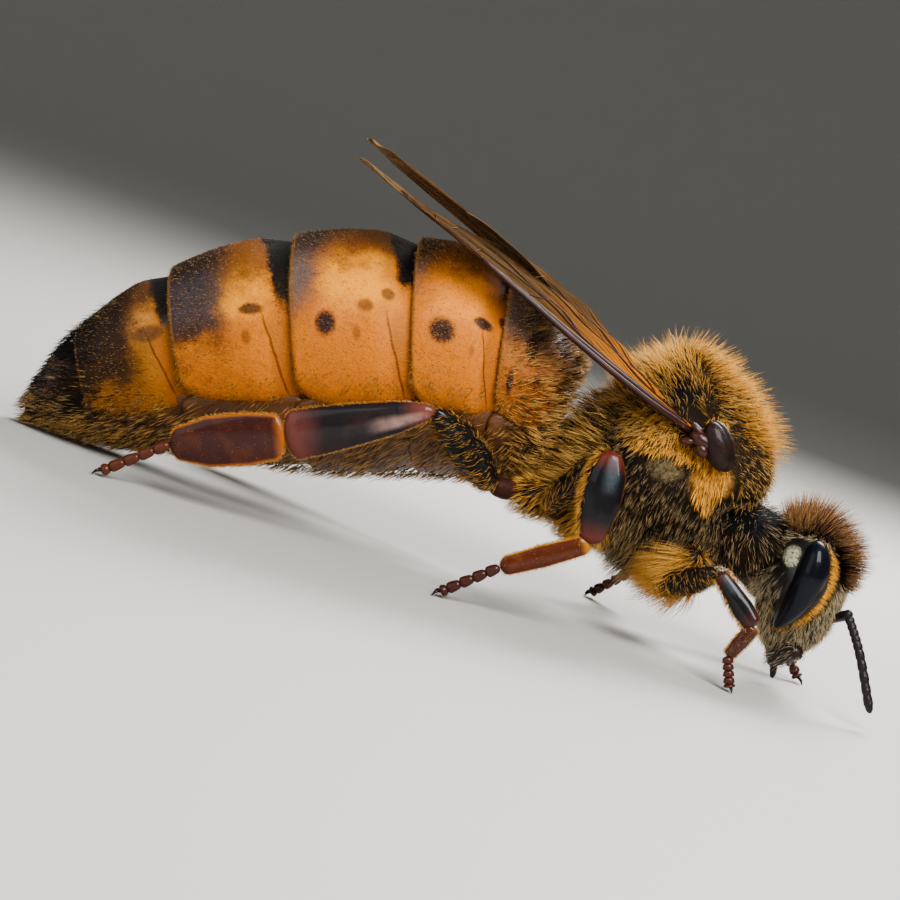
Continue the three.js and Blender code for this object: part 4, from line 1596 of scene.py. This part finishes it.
        gap = by_place(self.eye_gap)
        crown = (Z + 0.55 * (X - 7.5)).ease(3.05, 3.35) * abs(Y).ease(1.25, 0.9) * gap.ease(0.16, 0.3)
        crown_length = 0.42 + 0.4 * Z.ease(2.6, 3.3) * abs(Y).ease(1.3, 0.6)
        fur("crown_tuft", russet,
            Coat(body, 5200, crown_length, self.outwards, crown, 0.5 - 0.45 * X.ease(7.5, 6.9), 0.011, stand=0.88,
                 droop=0.2, seed=21, unruly=0.12, rings=2, gather=0.35, tuft=5, uneven=0.6))
        ahead = by_place(lambda points: self.eye_ring(points)[1])
        rim = gap.ease(0.0, 0.02) * gap.ease(0.1, 0.05) * (ahead.ease(-0.02, 0.1) + Z.ease(1.85, 1.55)).held()
        fur("eye_rims", orange,
            Coat(body, 3400, 0.22, self.from_eye, rim, 0.0, 0.016, stand=0.3, seed=22, rings=2, unruly=0.08))
        face = X.ease(7.4, 7.8) * Z.ease(3.0, 2.6) * gap.ease(0.16, 0.24)
        bald = (close((6.98, 1.3, 3.02), (0.6, 0.9, 0.8)) * 1.9).held(1 - 0.14 * Z.ease(2.95, 2.6))
        cheek = (1 - bald) * X.ease(7.9, 7.4) * gap.ease(0.02, 0.1)
        cheek_shade = 0.2 + 0.6 * close((7.1, 1.4, 2.5), (0.42, 0.9, 0.9))
        nape = X.ease(6.7, 6.5) * Z.ease(3.5, 3.1) * Z.ease(1.3, 1.7)
        fur("face_hair", ashen,
            Coat(body, 3600, 0.3, (0.35, 0.2, -1.0), face, 0.2, 0.011, stand=0.4, droop=0.6, seed=23, rings=2,
                 gather=0.2, tuft=5),
            Coat(body, 6000, 0.36, (-0.25, 0.2, -1.0), cheek, cheek_shade, 0.011, stand=0.3, droop=0.7, seed=24,
                 rings=2, gather=0.25, tuft=5, clump=0.1),
            Coat(body, 2400, 0.5, (-0.9, 0.3, -0.5), nape, 0.2, 0.014, seed=25, rings=2, gather=0.4),
            *[Coat(self.jaw(side), 260, 0.22, (-0.5, 0.2, -0.6), shade=0.4, width=0.012, seed=26 + number, rings=2,
                   tile=(0.9, 0.45 * number, 0.1, 0.45)) for number, side in enumerate(SIDES.values())])


@dataclass(frozen=True)
class Plate:
    """One back plate of the abdomen: where it starts and ends, its finish, and how it is built."""

    first: float
    last: float
    finish: PlateFinish
    reach: float = 113.0


@dataclass
class Abdomen:
    """The abdomen: its soft core, six overlapping back plates, belly plates and hair."""

    tuck: float = 0.2
    swell: float = 0.05
    wall: float = 0.035

    def plates(self) -> list[Plate]:
        """Gives the back plates from waist to tail."""
        return [
            Plate(0.42, 1.96, PlateFinish("back plate 1", 0.9, band_top=0.5, band_low=0.48, band_reach=62, patch=0.1,
                                          patch_reach=30, amber="84420c", painted_highlight="c0703c", dusk="4a2810",
                                          band="2a1a12", gloom=0.16,
                                          spots=(Spot(0.66, 62, 0.09, 8.0), Spot(0.86, 88, 0.05, 7.0)))),
            Plate(1.8, 3.0, PlateFinish("back plate 2", 2.0, 0.68, 0.98, 60, 0.16, 40, painted_highlight="f28806", spots=(
                Spot(0.66, 73, 0.15, 6.4), Spot(0.2, 65, 0.12, 3.2), Spot(-0.02, 58, 0.05, 3.4, 0.9),
                Spot(0.31, 80, 0.035, 3.0, 0.4)))),
            Plate(2.86, 4.0, PlateFinish("back plate 3", 3.0, 0.62, 0.86, 70, 0.28, 50, spots=(
                Spot(0.7, 73.6, 0.085, 6.2), Spot(0.38, 65, 0.07, 3.4, 0.7), Spot(0.2, 58, 0.06, 3.4, 0.8),
                Spot(0.45, 78, 0.035, 3.6, 0.5)), band="2b2728")),
            Plate(3.86, 5.0, PlateFinish("back plate 4", 4.0, 0.52, 0.5, 84, 0.27, 62, spots=(
                Spot(0.3, 65, 0.1, 3.0, 0.9), Spot(0.35, 79, 0.04, 3.8, 0.5)), band="141419", painted_band_sheen="3e3b44",
                top=38.0, gloom=0.02)),
            Plate(4.86, 6.0, PlateFinish("back plate 5", 5.0, 0.36, 0.32, 96, 0.22, 64, spots=(
                Spot(0.2, 66, 0.14, 6.0, 0.7),), amber="8a5210", painted_highlight="c07c34", dusk="4a2c16",
                band="08080d", painted_band_sheen="16161e", top=34.0, gloom=0.1), reach=122),
            Plate(5.84, 6.93, PlateFinish("back plate 6", 6.0, -0.4, -0.4, 150, 0.2, 62, amber="1a1210",
                                          dusk="121012", band="0c0c10", gloom=0.5), reach=140),
        ]

    def surface(self, plate: Plate) -> Barrel:
        """Gives a back plate's surface, sunk in front under the rim of the one before."""
        return Barrel(plate.first, plate.last, plate.reach, 0.0, self.tuck, self.swell, 0.1, 15.0)

    def build(self) -> None:
        """Builds the core, the plates, the belly and the hair."""
        soft = ShellFinish("membrane between plates", "2c1406", "5c3010", 0.5, 0.1, 6.0, 0.02).build()
        core = Barrel(0.06, 6.985, lift=-0.3)
        shell("abdomen_core", [(core, (64, 110))], soft, Slot("amber_shell"))
        for number, plate in enumerate(self.plates(), 1):
            surface = self.surface(plate)
            shell(f"back_plate_{number}", [(surface, (88, 44))], plate.finish.build(),
                  Slot("amber_shell" if number < 5 else "dark_shell", (f"abdomen_{number}",)), self.wall)
        belly = ShellFinish("belly shell", "63360b", "341a06", 0.45, 0.15, 7.0, 0.02).build()
        aprons = [Barrel(first, last, 72.0, BELLY_TURN, 0.1, 0.03, 0.08, 10.0, -0.06)
                  for first, last in ((1.0, 2.06), (1.9, 3.06), (2.9, 4.06), (3.9, 5.06), (4.9, 6.05), (5.85, 6.9))]
        shell("belly_plates", [(apron, (48, 24)) for apron in aprons], belly, Slot("amber_shell"), self.wall)
        self.build_hair()

    def build_hair(self) -> None:
        """Grows the long hair of the waist end and the tail, the belly's fringe and the down of the plates."""
        mixed = HairFinish("abdomen hair", "20160a", "d29a48", climb=(0.15, 0.75)).build()
        dusky = HairFinish("tail hair", "1f1712", "a8824c", "0c0b0d", "1d1a19").build()
        grains = HairFinish("plate down", "5a4428", "e0b070", "16130f", "4a3c2c",
                            climb=(0.0, 0.6)).build()
        hull = Barrel(0.1, 6.98)

        place, turned, edge = 0.1 + V * 6.88, abs(2 * U - 1) * 180, abs(2 * U - 1)
        waist_length = 0.45 + 0.45 * Z.ease(3.6, 2.8) * X.ease(0.6, 1.2)
        fur("waist_hair", mixed,
            Coat(hull, 4600, waist_length, (0.5, 0.3, 0.2), place.ease(1.95, 1.35) * place.ease(0.4, 0.7), 0.35,
                 0.015, stand=0.6, seed=31, gather=0.5, tuft=9))
        skirts = edge.ease(0.84, 0.98) * V.ease(0.2, 0.35)
        rows = [(number, self.surface(plate), (number / PLATE_ROWS, 0.0, 0.16, 1.0))
                for number, plate in enumerate(self.plates())]
        fur("belly_hair", mixed,
            Coat(hull, 5000, 0.4, (-0.6, 0.1, -0.5), turned.ease(108, 122) * place.ease(0.6, 1.2), 0.1, 0.015,
                 stand=0.45, droop=0.6, seed=32, gather=0.4),
            *[Coat(plate, 520, 0.24, (-0.5, 0.1, -0.8), skirts, 0.0, 0.012, stand=0.3, droop=0.6,
                   seed=55 + number, rings=2, gather=0.4, tile=tile) for number, plate, tile in rows])
        tail = place.ease(5.5, 6.2) + 0.5 * place.ease(5.1, 5.6) * turned.ease(80, 100)
        tail_shade = 0.2 + 0.8 * X.ease(-5.2, -6.4) * Z.ease(0.6, 1.2)
        fur("tail_hair", dusky,
            Coat(hull, 5000, 0.34, (-1.0, 0.1, -0.25), tail, tail_shade, 0.015, stand=0.4, droop=0.4, seed=34,
                 gather=0.2))
        down = V.ease(0.2, 0.34) * (0.3 + V.ease(0.45, 0.7)) * edge.ease(1.0, 0.7)
        fringe = Measure(lambda points, u, v: np.exp(-((v - 0.985) / 0.008) ** 2))
        fur("plate_down", grains, *[coat for number, plate, tile in rows for coat in (
            Coat(plate, 5000, 0.08, (-1.0, 0.0, -0.2), down, 0.25 + 0.12 * number, 0.01, stand=0.45, droop=0.6,
                 seed=35 + number, rings=1, tile=tile),
            Coat(plate, 1400, 0.1, (-1.0, 0.0, 0.0), fringe, 0.2, 0.011, stand=0.3, droop=0.4, seed=45 + number,
                 rings=1, tile=tile))])


@dataclass
class Wings:
    """The two pairs of wings: thin membranes with their veins."""

    fore_lead: tuple[Pair, ...] = (
        (0.0, 0.03), (0.12, 0.0), (0.3, -0.012), (0.62, -0.012), (0.82, 0.004), (0.95, 0.045), (1.0, 0.09))
    fore_trail: tuple[Pair, ...] = (
        (0.0, 0.05), (0.12, 0.06), (0.3, 0.13), (0.5, 0.215), (0.7, 0.272), (0.86, 0.262), (0.965, 0.18), (1.0, 0.09))
    hind_lead: tuple[Pair, ...] = (
        (0.1, 0.06), (0.22, 0.095), (0.34, 0.135), (0.5, 0.2), (0.62, 0.26), (0.68, 0.31))
    hind_trail: tuple[Pair, ...] = (
        (0.1, 0.09), (0.2, 0.15), (0.32, 0.24), (0.44, 0.31), (0.58, 0.345), (0.68, 0.31))
    # each vein is a row of places, along the span and back from the leading edge, and its half width
    fore_veins: tuple[tuple[tuple[Pair, ...], float], ...] = (
        (((0.0, 0.03), (0.12, 0.002), (0.3, -0.01), (0.5, -0.011), (0.64, -0.01)), 0.075),
        (((0.02, 0.036), (0.14, 0.018), (0.3, 0.006), (0.5, 0.003), (0.62, 0.004)), 0.06),
        (((0.62, -0.008), (0.76, 0.008), (0.88, 0.05)), 0.035),
        (((0.55, 0.004), (0.62, 0.03), (0.76, 0.044), (0.88, 0.056)), 0.028),
        (((0.03, 0.042), (0.18, 0.034), (0.34, 0.052), (0.46, 0.082), (0.6, 0.086), (0.74, 0.092),
          (0.87, 0.12)), 0.036),
        (((0.34, 0.052), (0.46, 0.115), (0.6, 0.165), (0.7, 0.21)), 0.03),
        (((0.04, 0.05), (0.2, 0.078), (0.36, 0.14), (0.54, 0.2)), 0.03),
        (((0.56, 0.012), (0.5, 0.05), (0.46, 0.082)), 0.024),
        (((0.66, 0.036), (0.65, 0.088)), 0.022),
        (((0.77, 0.045), (0.79, 0.1)), 0.022),
        (((0.46, 0.084), (0.45, 0.112)), 0.022),
        (((0.62, 0.087), (0.61, 0.166)), 0.022),
        (((0.75, 0.093), (0.72, 0.16), (0.7, 0.21)), 0.022),
    )
    hind_veins: tuple[tuple[tuple[Pair, ...], float], ...] = (
        (((0.1, 0.065), (0.22, 0.098), (0.34, 0.138), (0.5, 0.203), (0.6, 0.25)), 0.034),
        (((0.12, 0.08), (0.26, 0.15), (0.4, 0.22), (0.54, 0.29)), 0.026),
        (((0.13, 0.085), (0.24, 0.165), (0.36, 0.25)), 0.022),
        (((0.36, 0.148), (0.36, 0.2)), 0.02),
    )

    fine_vein: float = 0.05

    def blade(self, word: str, kind: str) -> Blade:
        """Gives one wing's membrane.

        Args:
            word: The side, right or left.
            kind: The pair, fore or hind.

        Returns:
            The surface.
        """
        hinge, tip, slants, span = {
            "right": ((4.06, 2.2, 4.79), (-4.5, 2.9, 8.14), (0.45, 0.36, 0.28, 0.14, -0.02, -0.06), 9.2),
            "left": ((3.95, 2.15, 4.95), (-5.3, 2.8, 8.54), (0.3, 0.2, 0.16, 0.17, 0.14, 0.1), 9.6),
        }[word]
        lead, trail = (self.fore_lead, self.fore_trail) if kind == "fore" else (self.hind_lead, self.hind_trail)
        return Blade(lead, trail, hinge, tip, slants, SIDES[word], span, lift=0.03 if kind == "fore" else -0.04)

    def vein(self, blade: Blade, places: Sequence[Pair], half: float) -> tuple[Rod, Steps]:
        """Lays a vein along a row of places on a membrane.

        Args:
            blade: The membrane.
            places: The row of places.
            half: The vein's half width at its root.

        Returns:
            The rod, and its steps around and along.
        """
        finer = Curve(places).at(np.linspace(0, 1, 4 * len(places)))
        path = tuple(tuple(point) for point in blade.spot(finer[:, 0], finer[:, 1]))
        stout = float(half > self.fine_vein)
        return Rod(path, (half, half * 0.85, half * 0.6), stout), (8, 5 * len(places))

    def build(self) -> None:
        """Builds all four wings."""
        membrane = MembraneFinish().build()
        horn = VeinFinish().build()
        for word in SIDES:
            for kind, veins in (("fore", self.fore_veins), ("hind", self.hind_veins)):
                blade = self.blade(word, kind)
                shell(f"{kind}wing_membrane_{word}", [(blade, (96, 36))], membrane,
                      Slot("wing", (f"{kind}wing_{word}",)), 0.02)
                shell(f"{kind}wing_veins_{word}", [self.vein(blade, *vein) for vein in veins], horn, Slot("wing"))


@dataclass(frozen=True)
class LegPlan:
    """One leg's joints from hip to foot, y counted outwards, and its half widths joint by joint."""

    joints: tuple[Place, ...]
    coxa: Row
    femur: Row
    tibia: Row
    tibia_thick: Row
    basitarsus: Row


@dataclass
class Leg:
    """One leg as one piece: hip, trochanter, femur, tibia, basitarsus, four small joints and claws."""

    kind: str
    word: str
    plan: LegPlan
    material: Material
    fringe: Material
    seed: int

    def part(self, start: Floats, stop: Floats, wide: Row,
             thick: Row, number: LegPart, **more: float) -> Limb:
        """Gives one joint of this leg on its own side."""
        return Limb(tuple(start), tuple(stop), wide, thick, SIDES[self.word], part=number.value, **more)

    def parts(self) -> dict[LegPart, Limb]:
        """Gives the leg's long joints."""
        hip, ring, knee, ankle, heel, _ = (np.array(joint) for joint in self.plan.joints)
        plan = self.plan
        crook = hip + (ring - hip) * 0.72
        return {
            LegPart.COXA: self.part(hip, crook, plan.coxa, plan.coxa, LegPart.COXA, blunt=0.5),
            LegPart.TROCHANTER: self.part(crook - (ring - hip) * 0.05, ring + (knee - ring) * 0.06,
                                          (0.2, 0.24, 0.2), (0.2, 0.22, 0.2), LegPart.TROCHANTER, blunt=0.4),
            LegPart.FEMUR: self.part(ring, knee, plan.femur, tuple(0.82 * w for w in plan.femur), LegPart.FEMUR,
                                     bow=0.05, blunt=0.7),
            LegPart.TIBIA: self.part(knee, ankle, plan.tibia, plan.tibia_thick, LegPart.TIBIA, blunt=0.84,
                                     square=2.3),
            LegPart.BASITARSUS: self.part(ankle, heel, plan.basitarsus, (0.1, 0.13, 0.1), LegPart.BASITARSUS,
                                          blunt=0.82, square=2.6),
        }

    def foot(self) -> list[tuple[Surface, Steps]]:
        """Gives the four small joints, the pad and the two claws."""
        heel, toe = (np.array(joint) for joint in self.plan.joints[-2:])
        toe[2] = max(toe[2], 0.1)
        made = []
        stops = np.linspace(0, 0.86, 5)
        for first, last in zip(stops[:-1], stops[1:]):
            start, stop = heel + (toe - heel) * first, heel + (toe - heel) * (last + 0.03)
            made.append((self.part(start, stop, (0.09, 0.12, 0.13), (0.09, 0.11, 0.12), LegPart.TARSUS, blunt=0.5),
                         (14, 12)))
        root = heel + (toe - heel) * 0.86
        made.append((self.part(root, toe, (0.08, 0.13, 0.12), (0.08, 0.13, 0.14), LegPart.TARSUS, blunt=0.5),
                     (14, 10)))
        ahead = unit(toe - heel)
        for spread in (-0.13, 0.13):
            base = toe - ahead * 0.06
            bend = base + ahead * 0.17 + np.array([0, spread, 0.07])
            tip = base + ahead * 0.25 + np.array([0, spread * 1.35, 0])
            tip[2], bend[2] = 0.02, max(bend[2], 0.1)
            path = tuple((x, y * SIDES[self.word], z) for x, y, z in (base, bend, tip))
            made.append((Rod(path, (0.045, 0.035, 0.008), LegPart.CLAW.value), (8, 10)))
        return made

    def tile(self, number: int) -> Tile:
        """Gives one joint's strip of the coat's unwrap."""
        return (number / 5, 0.0, 0.19, 1.0)

    def build(self) -> None:
        """Builds the leg and its hair."""
        parts = self.parts()
        name = f"{self.kind}_leg_{self.word}"
        surfaces = [(limb, (28, 36)) for limb in parts.values()] + self.foot()
        nodes = tuple(f"{name}_{part}" for part in ("coxa", "femur", "tibia", "basitarsus", "tarsus"))
        shell(name, surfaces, self.material, Slot("leg_shell", nodes))
        hind = self.kind == "hind"
        size = 1.0 if hind else 0.8

        _, ring, knee, ankle, _, toe = (np.array(joint) for joint in self.plan.joints)
        edge = abs(Measure(lambda points, u, v: np.cos(u * 2 * math.pi)))
        ahead = X - Measure(lambda points, u, v: np.interp(v, (0, 1), (knee[0], ankle[0])))
        edges, rear_edge = edge.ease(0.9, 0.98), edge.ease(0.7, 0.95) * ahead.ease(0.05, -0.05)
        down = toe - ring
        lie = (down[0], down[1] * SIDES[self.word], -abs(down[2]) - 1.0)
        middle = (ring[2] + knee[2]) / 2
        tibial = {"hind": (600, 0.08, edges), "mid": (500, 0.24, rear_edge), "front": (400, 0.16, rear_edge)}
        count, length, where = tibial[self.kind]
        coxa, tarsal, tile = parts[LegPart.COXA], parts[LegPart.BASITARSUS], self.tile
        beard = [Coat(coxa, 2200, 1.1, (-1.0, 0.45, -0.7), V.ease(0.3, 0.6), 0.0, 0.014, stand=0.4, droop=0.6,
                      seed=self.seed + 5, tile=tile(0), gather=0.5)] if self.kind == "front" else []
        fur(f"{name}_hair", self.fringe,
            Coat(coxa, 1100, 0.45, (-0.6, 0.0, -0.8), shade=0.1, width=0.014, rings=2, seed=self.seed, tile=tile(0),
                 gather=0.4),
            Coat(parts[LegPart.FEMUR], 1800, 0.24 * size, lie, shade=0.7 - 0.4 * Z.ease(middle, middle - 0.8),
                 width=0.011, stand=0.3, rings=2, seed=self.seed + 1, tile=tile(1)),
            Coat(parts[LegPart.TIBIA], count, length, lie, where, 0.0, 0.011, stand=0.6, rings=2,
                 seed=self.seed + 2, tile=tile(2)),
            Coat(tarsal, 800 if hind else 400, 0.09, lie, edges, 0.0, 0.011, stand=0.65, rings=2,
                 seed=self.seed + 3, tile=tile(3)),
            Coat(tarsal, 600, 0.05, lie, shade=0.3, width=0.009, stand=0.3, rings=1, seed=self.seed + 4,
                 tile=tile(4)),
            *beard)


@dataclass
class Legs:
    """All six legs."""

    foot_height: float = 0.12

    def plans(self) -> dict[tuple[str, str], LegPlan]:
        """Gives the joints and half widths of each leg."""
        h = self.foot_height
        shapes = {
            "front": ((0.4, 0.42, 0.26), (0.2, 0.28, 0.26, 0.15), (0.14, 0.2, 0.24, 0.2), (0.12, 0.17, 0.16),
                      (0.15, 0.16, 0.12)),
            "mid": ((0.46, 0.44, 0.26), (0.22, 0.34, 0.32, 0.17), (0.2, 0.42, 0.44, 0.36, 0.24),
                    (0.16, 0.24, 0.2, 0.14), (0.2, 0.24, 0.2)),
            "hind": ((0.46, 0.42, 0.26), (0.22, 0.38, 0.36, 0.15), (0.14, 0.34, 0.44, 0.52, 0.54),
                     (0.12, 0.2, 0.2, 0.16), (0.46, 0.56, 0.54, 0.3)),
        }
        joints = {
            ("front", "right"): ((5.1, 0.8, 2.4), (4.36, 1.3, 1.45), (5.56, 2.3, 2.32), (6.62, 2.5, 1.5),
                                 (6.3, 2.5, 0.72), (6.56, 2.52, 0.06)),
            ("front", "left"): ((5.1, 0.8, 2.4), (4.5, 1.3, 1.45), (5.9, 2.35, 2.3), (7.1, 2.45, 1.6),
                                (7.75, 2.05, 0.78), (8.35, 1.75, h)),
            ("mid", "right"): ((2.95, 0.8, 2.2), (1.6, 1.42, 2.3), (2.56, 2.9, 4.08), (2.74, 3.1, 2.08),
                               (1.14, 3.3, 1.02), (0.12, 3.4, h)),
            ("mid", "left"): ((2.95, 0.8, 2.2), (2.3, 1.5, 2.1), (3.5, 2.95, 3.9), (4.1, 3.2, 1.95),
                              (4.0, 3.4, 0.9), (3.3, 3.6, h)),
            ("hind", "right"): ((2.0, 0.75, 2.55), (0.42, 1.45, 2.3), (-1.22, 3.0, 3.66), (-4.04, 3.15, 2.1),
                                (-6.3, 3.2, 1.14), (-7.5, 3.25, h)),
            ("hind", "left"): ((2.0, 0.75, 2.55), (0.42, 1.45, 2.3), (-1.0, 3.05, 3.5), (-3.7, 3.4, 1.95),
                               (-5.9, 3.6, 1.05), (-7.1, 3.75, h)),
        }
        return {key: LegPlan(places, *shapes[key[0]]) for key, places in joints.items()}

    def build(self) -> None:
        """Builds every leg."""
        shells = {
            "front": LegFinish("front leg shell", "110f0d", "0b0a0c", "38160f", "33150e",
                               "6c300f", "3c1a12", 0.5, "5c6468"),
            "mid": LegFinish("mid leg shell", "110f0d", "08080b", "4e1a0e", "421806",
                             "c27a06", "34160f", 0.35, "66767e"),
            "hind": LegFinish("hind leg shell", "0f0e0d", "151113", "5e2c24", "2f120d",
                              "b05a08", "48200f", 0.7),
        }
        finishes = {kind: finish.build() for kind, finish in shells.items()}
        fringe = HairFinish("leg hair", "6a4210", "d89a3c", "0e0c0b", "241c14",
                            climb=(0.0, 0.6)).build()
        for number, ((kind, word), plan) in enumerate(self.plans().items()):
            Leg(kind, word, plan, finishes[kind], fringe, 40 + 10 * number).build()


@dataclass
class Studio:
    """The pale floor, the soft lights and the camera."""

    azimuth: float = 2.5
    elevation: float = 6.5
    roll: float = 19.03
    target: Place = (-0.8, 0.0, 2.627)
    distance: float = 55.556
    lens: float = 100.0
    floor_radius: float = 0.14
    sweep: float = 0.12
    wall: float = 0.16

    def build(self) -> None:
        """Sets the stage."""
        self.build_floor()
        self.build_lights()
        self.build_camera()

    def build_floor(self) -> None:
        """Lays a round floor that sweeps up into a wall all round."""
        bm = bmesh.new()
        profile = [bm.verts.new((0.0, 0.0, 0.0)), bm.verts.new((self.floor_radius, 0.0, 0.0))]
        for angle in np.linspace(10, 90, 9):
            turn = math.radians(angle)
            profile.append(bm.verts.new((self.floor_radius + self.sweep * math.sin(turn), 0.0,
                                         self.sweep * (1 - math.cos(turn)))))
        profile.append(bm.verts.new((self.floor_radius + self.sweep, 0.0, self.wall)))
        edges = [bm.edges.new(pair) for pair in zip(profile[:-1], profile[1:])]
        bmesh.ops.spin(bm, geom=profile + edges, axis=(0, 0, 1), cent=(0, 0, 0), angle=2 * math.pi, steps=64,
                       use_merge=True, use_duplicate=False)
        bmesh.ops.remove_doubles(bm, verts=bm.verts, dist=1e-5)
        bmesh.ops.recalc_face_normals(bm, faces=bm.faces)
        bmesh.ops.reverse_faces(bm, faces=bm.faces)
        floor = finished("floor", bm)
        floor.data.materials.append(GroundFinish().build())

    def build_lights(self) -> None:
        """Hangs three soft lights and a pale sky."""
        world = bpy.data.worlds.new("pale sky")
        bpy.context.scene.world = world
        world.use_nodes = True
        sky = world.node_tree.nodes["Background"]
        sky.inputs["Color"].default_value = (*rgb("e6ebec"), 1.0)
        sky.inputs["Strength"].default_value = 0.25
        for name, place, size, watts in (
            ("key light", (17.0, -34.0, 36.0), 28.0, 0.058),
            ("fill light", (-34.0, -40.0, 22.0), 40.0, 0.01),
            ("back light", (16.0, 34.0, 40.0), 26.0, 0.09),
        ):
            lamp = bpy.data.lights.new(name, "AREA")
            lamp.energy = watts
            lamp.size = size * MM
            light = bpy.data.objects.new(name, lamp)
            start = Vector(to_metres(np.array(place)))
            aim = Vector(to_metres(np.array(self.target))) - start
            light.matrix_world = Matrix.Translation(start) @ aim.to_track_quat("-Z", "Y").to_matrix().to_4x4()
            bpy.context.scene.collection.objects.link(light)

    def build_camera(self) -> None:
        """Places the camera, turned about its own axis by the slope that the bee stood on."""
        turn, rise, roll = (math.radians(angle) for angle in (self.azimuth, self.elevation, self.roll))
        back = Vector((math.sin(turn) * math.cos(rise), -math.cos(turn) * math.cos(rise), math.sin(rise)))
        right = Vector((math.cos(turn), math.sin(turn), 0.0))
        up = right.cross(-back)
        across = right * math.cos(roll) + up * math.sin(roll)
        upright = -right * math.sin(roll) + up * math.cos(roll)
        data = bpy.data.cameras.new("camera")
        data.lens = self.lens
        data.clip_start = 1 * MM
        data.clip_end = 10.0
        camera = bpy.data.objects.new("camera", data)
        place = Vector(to_metres(np.array(self.target))) + back * self.distance * MM
        camera.matrix_world = Matrix.Translation(place) @ Matrix((across, upright, back)).transposed().to_4x4()
        bpy.context.scene.collection.objects.link(camera)
        bpy.context.scene.camera = camera


def main() -> None:
    """Builds the studio and the bee."""
    logging.basicConfig(level=logging.INFO, format="%(message)s")
    Studio().build()
    for assembly in (Thorax(), Head(), Abdomen(), Wings(), Legs()):
        log.info("building the %s", type(assembly).__name__.lower())
        assembly.build()


if __name__ == "__main__":
    main()
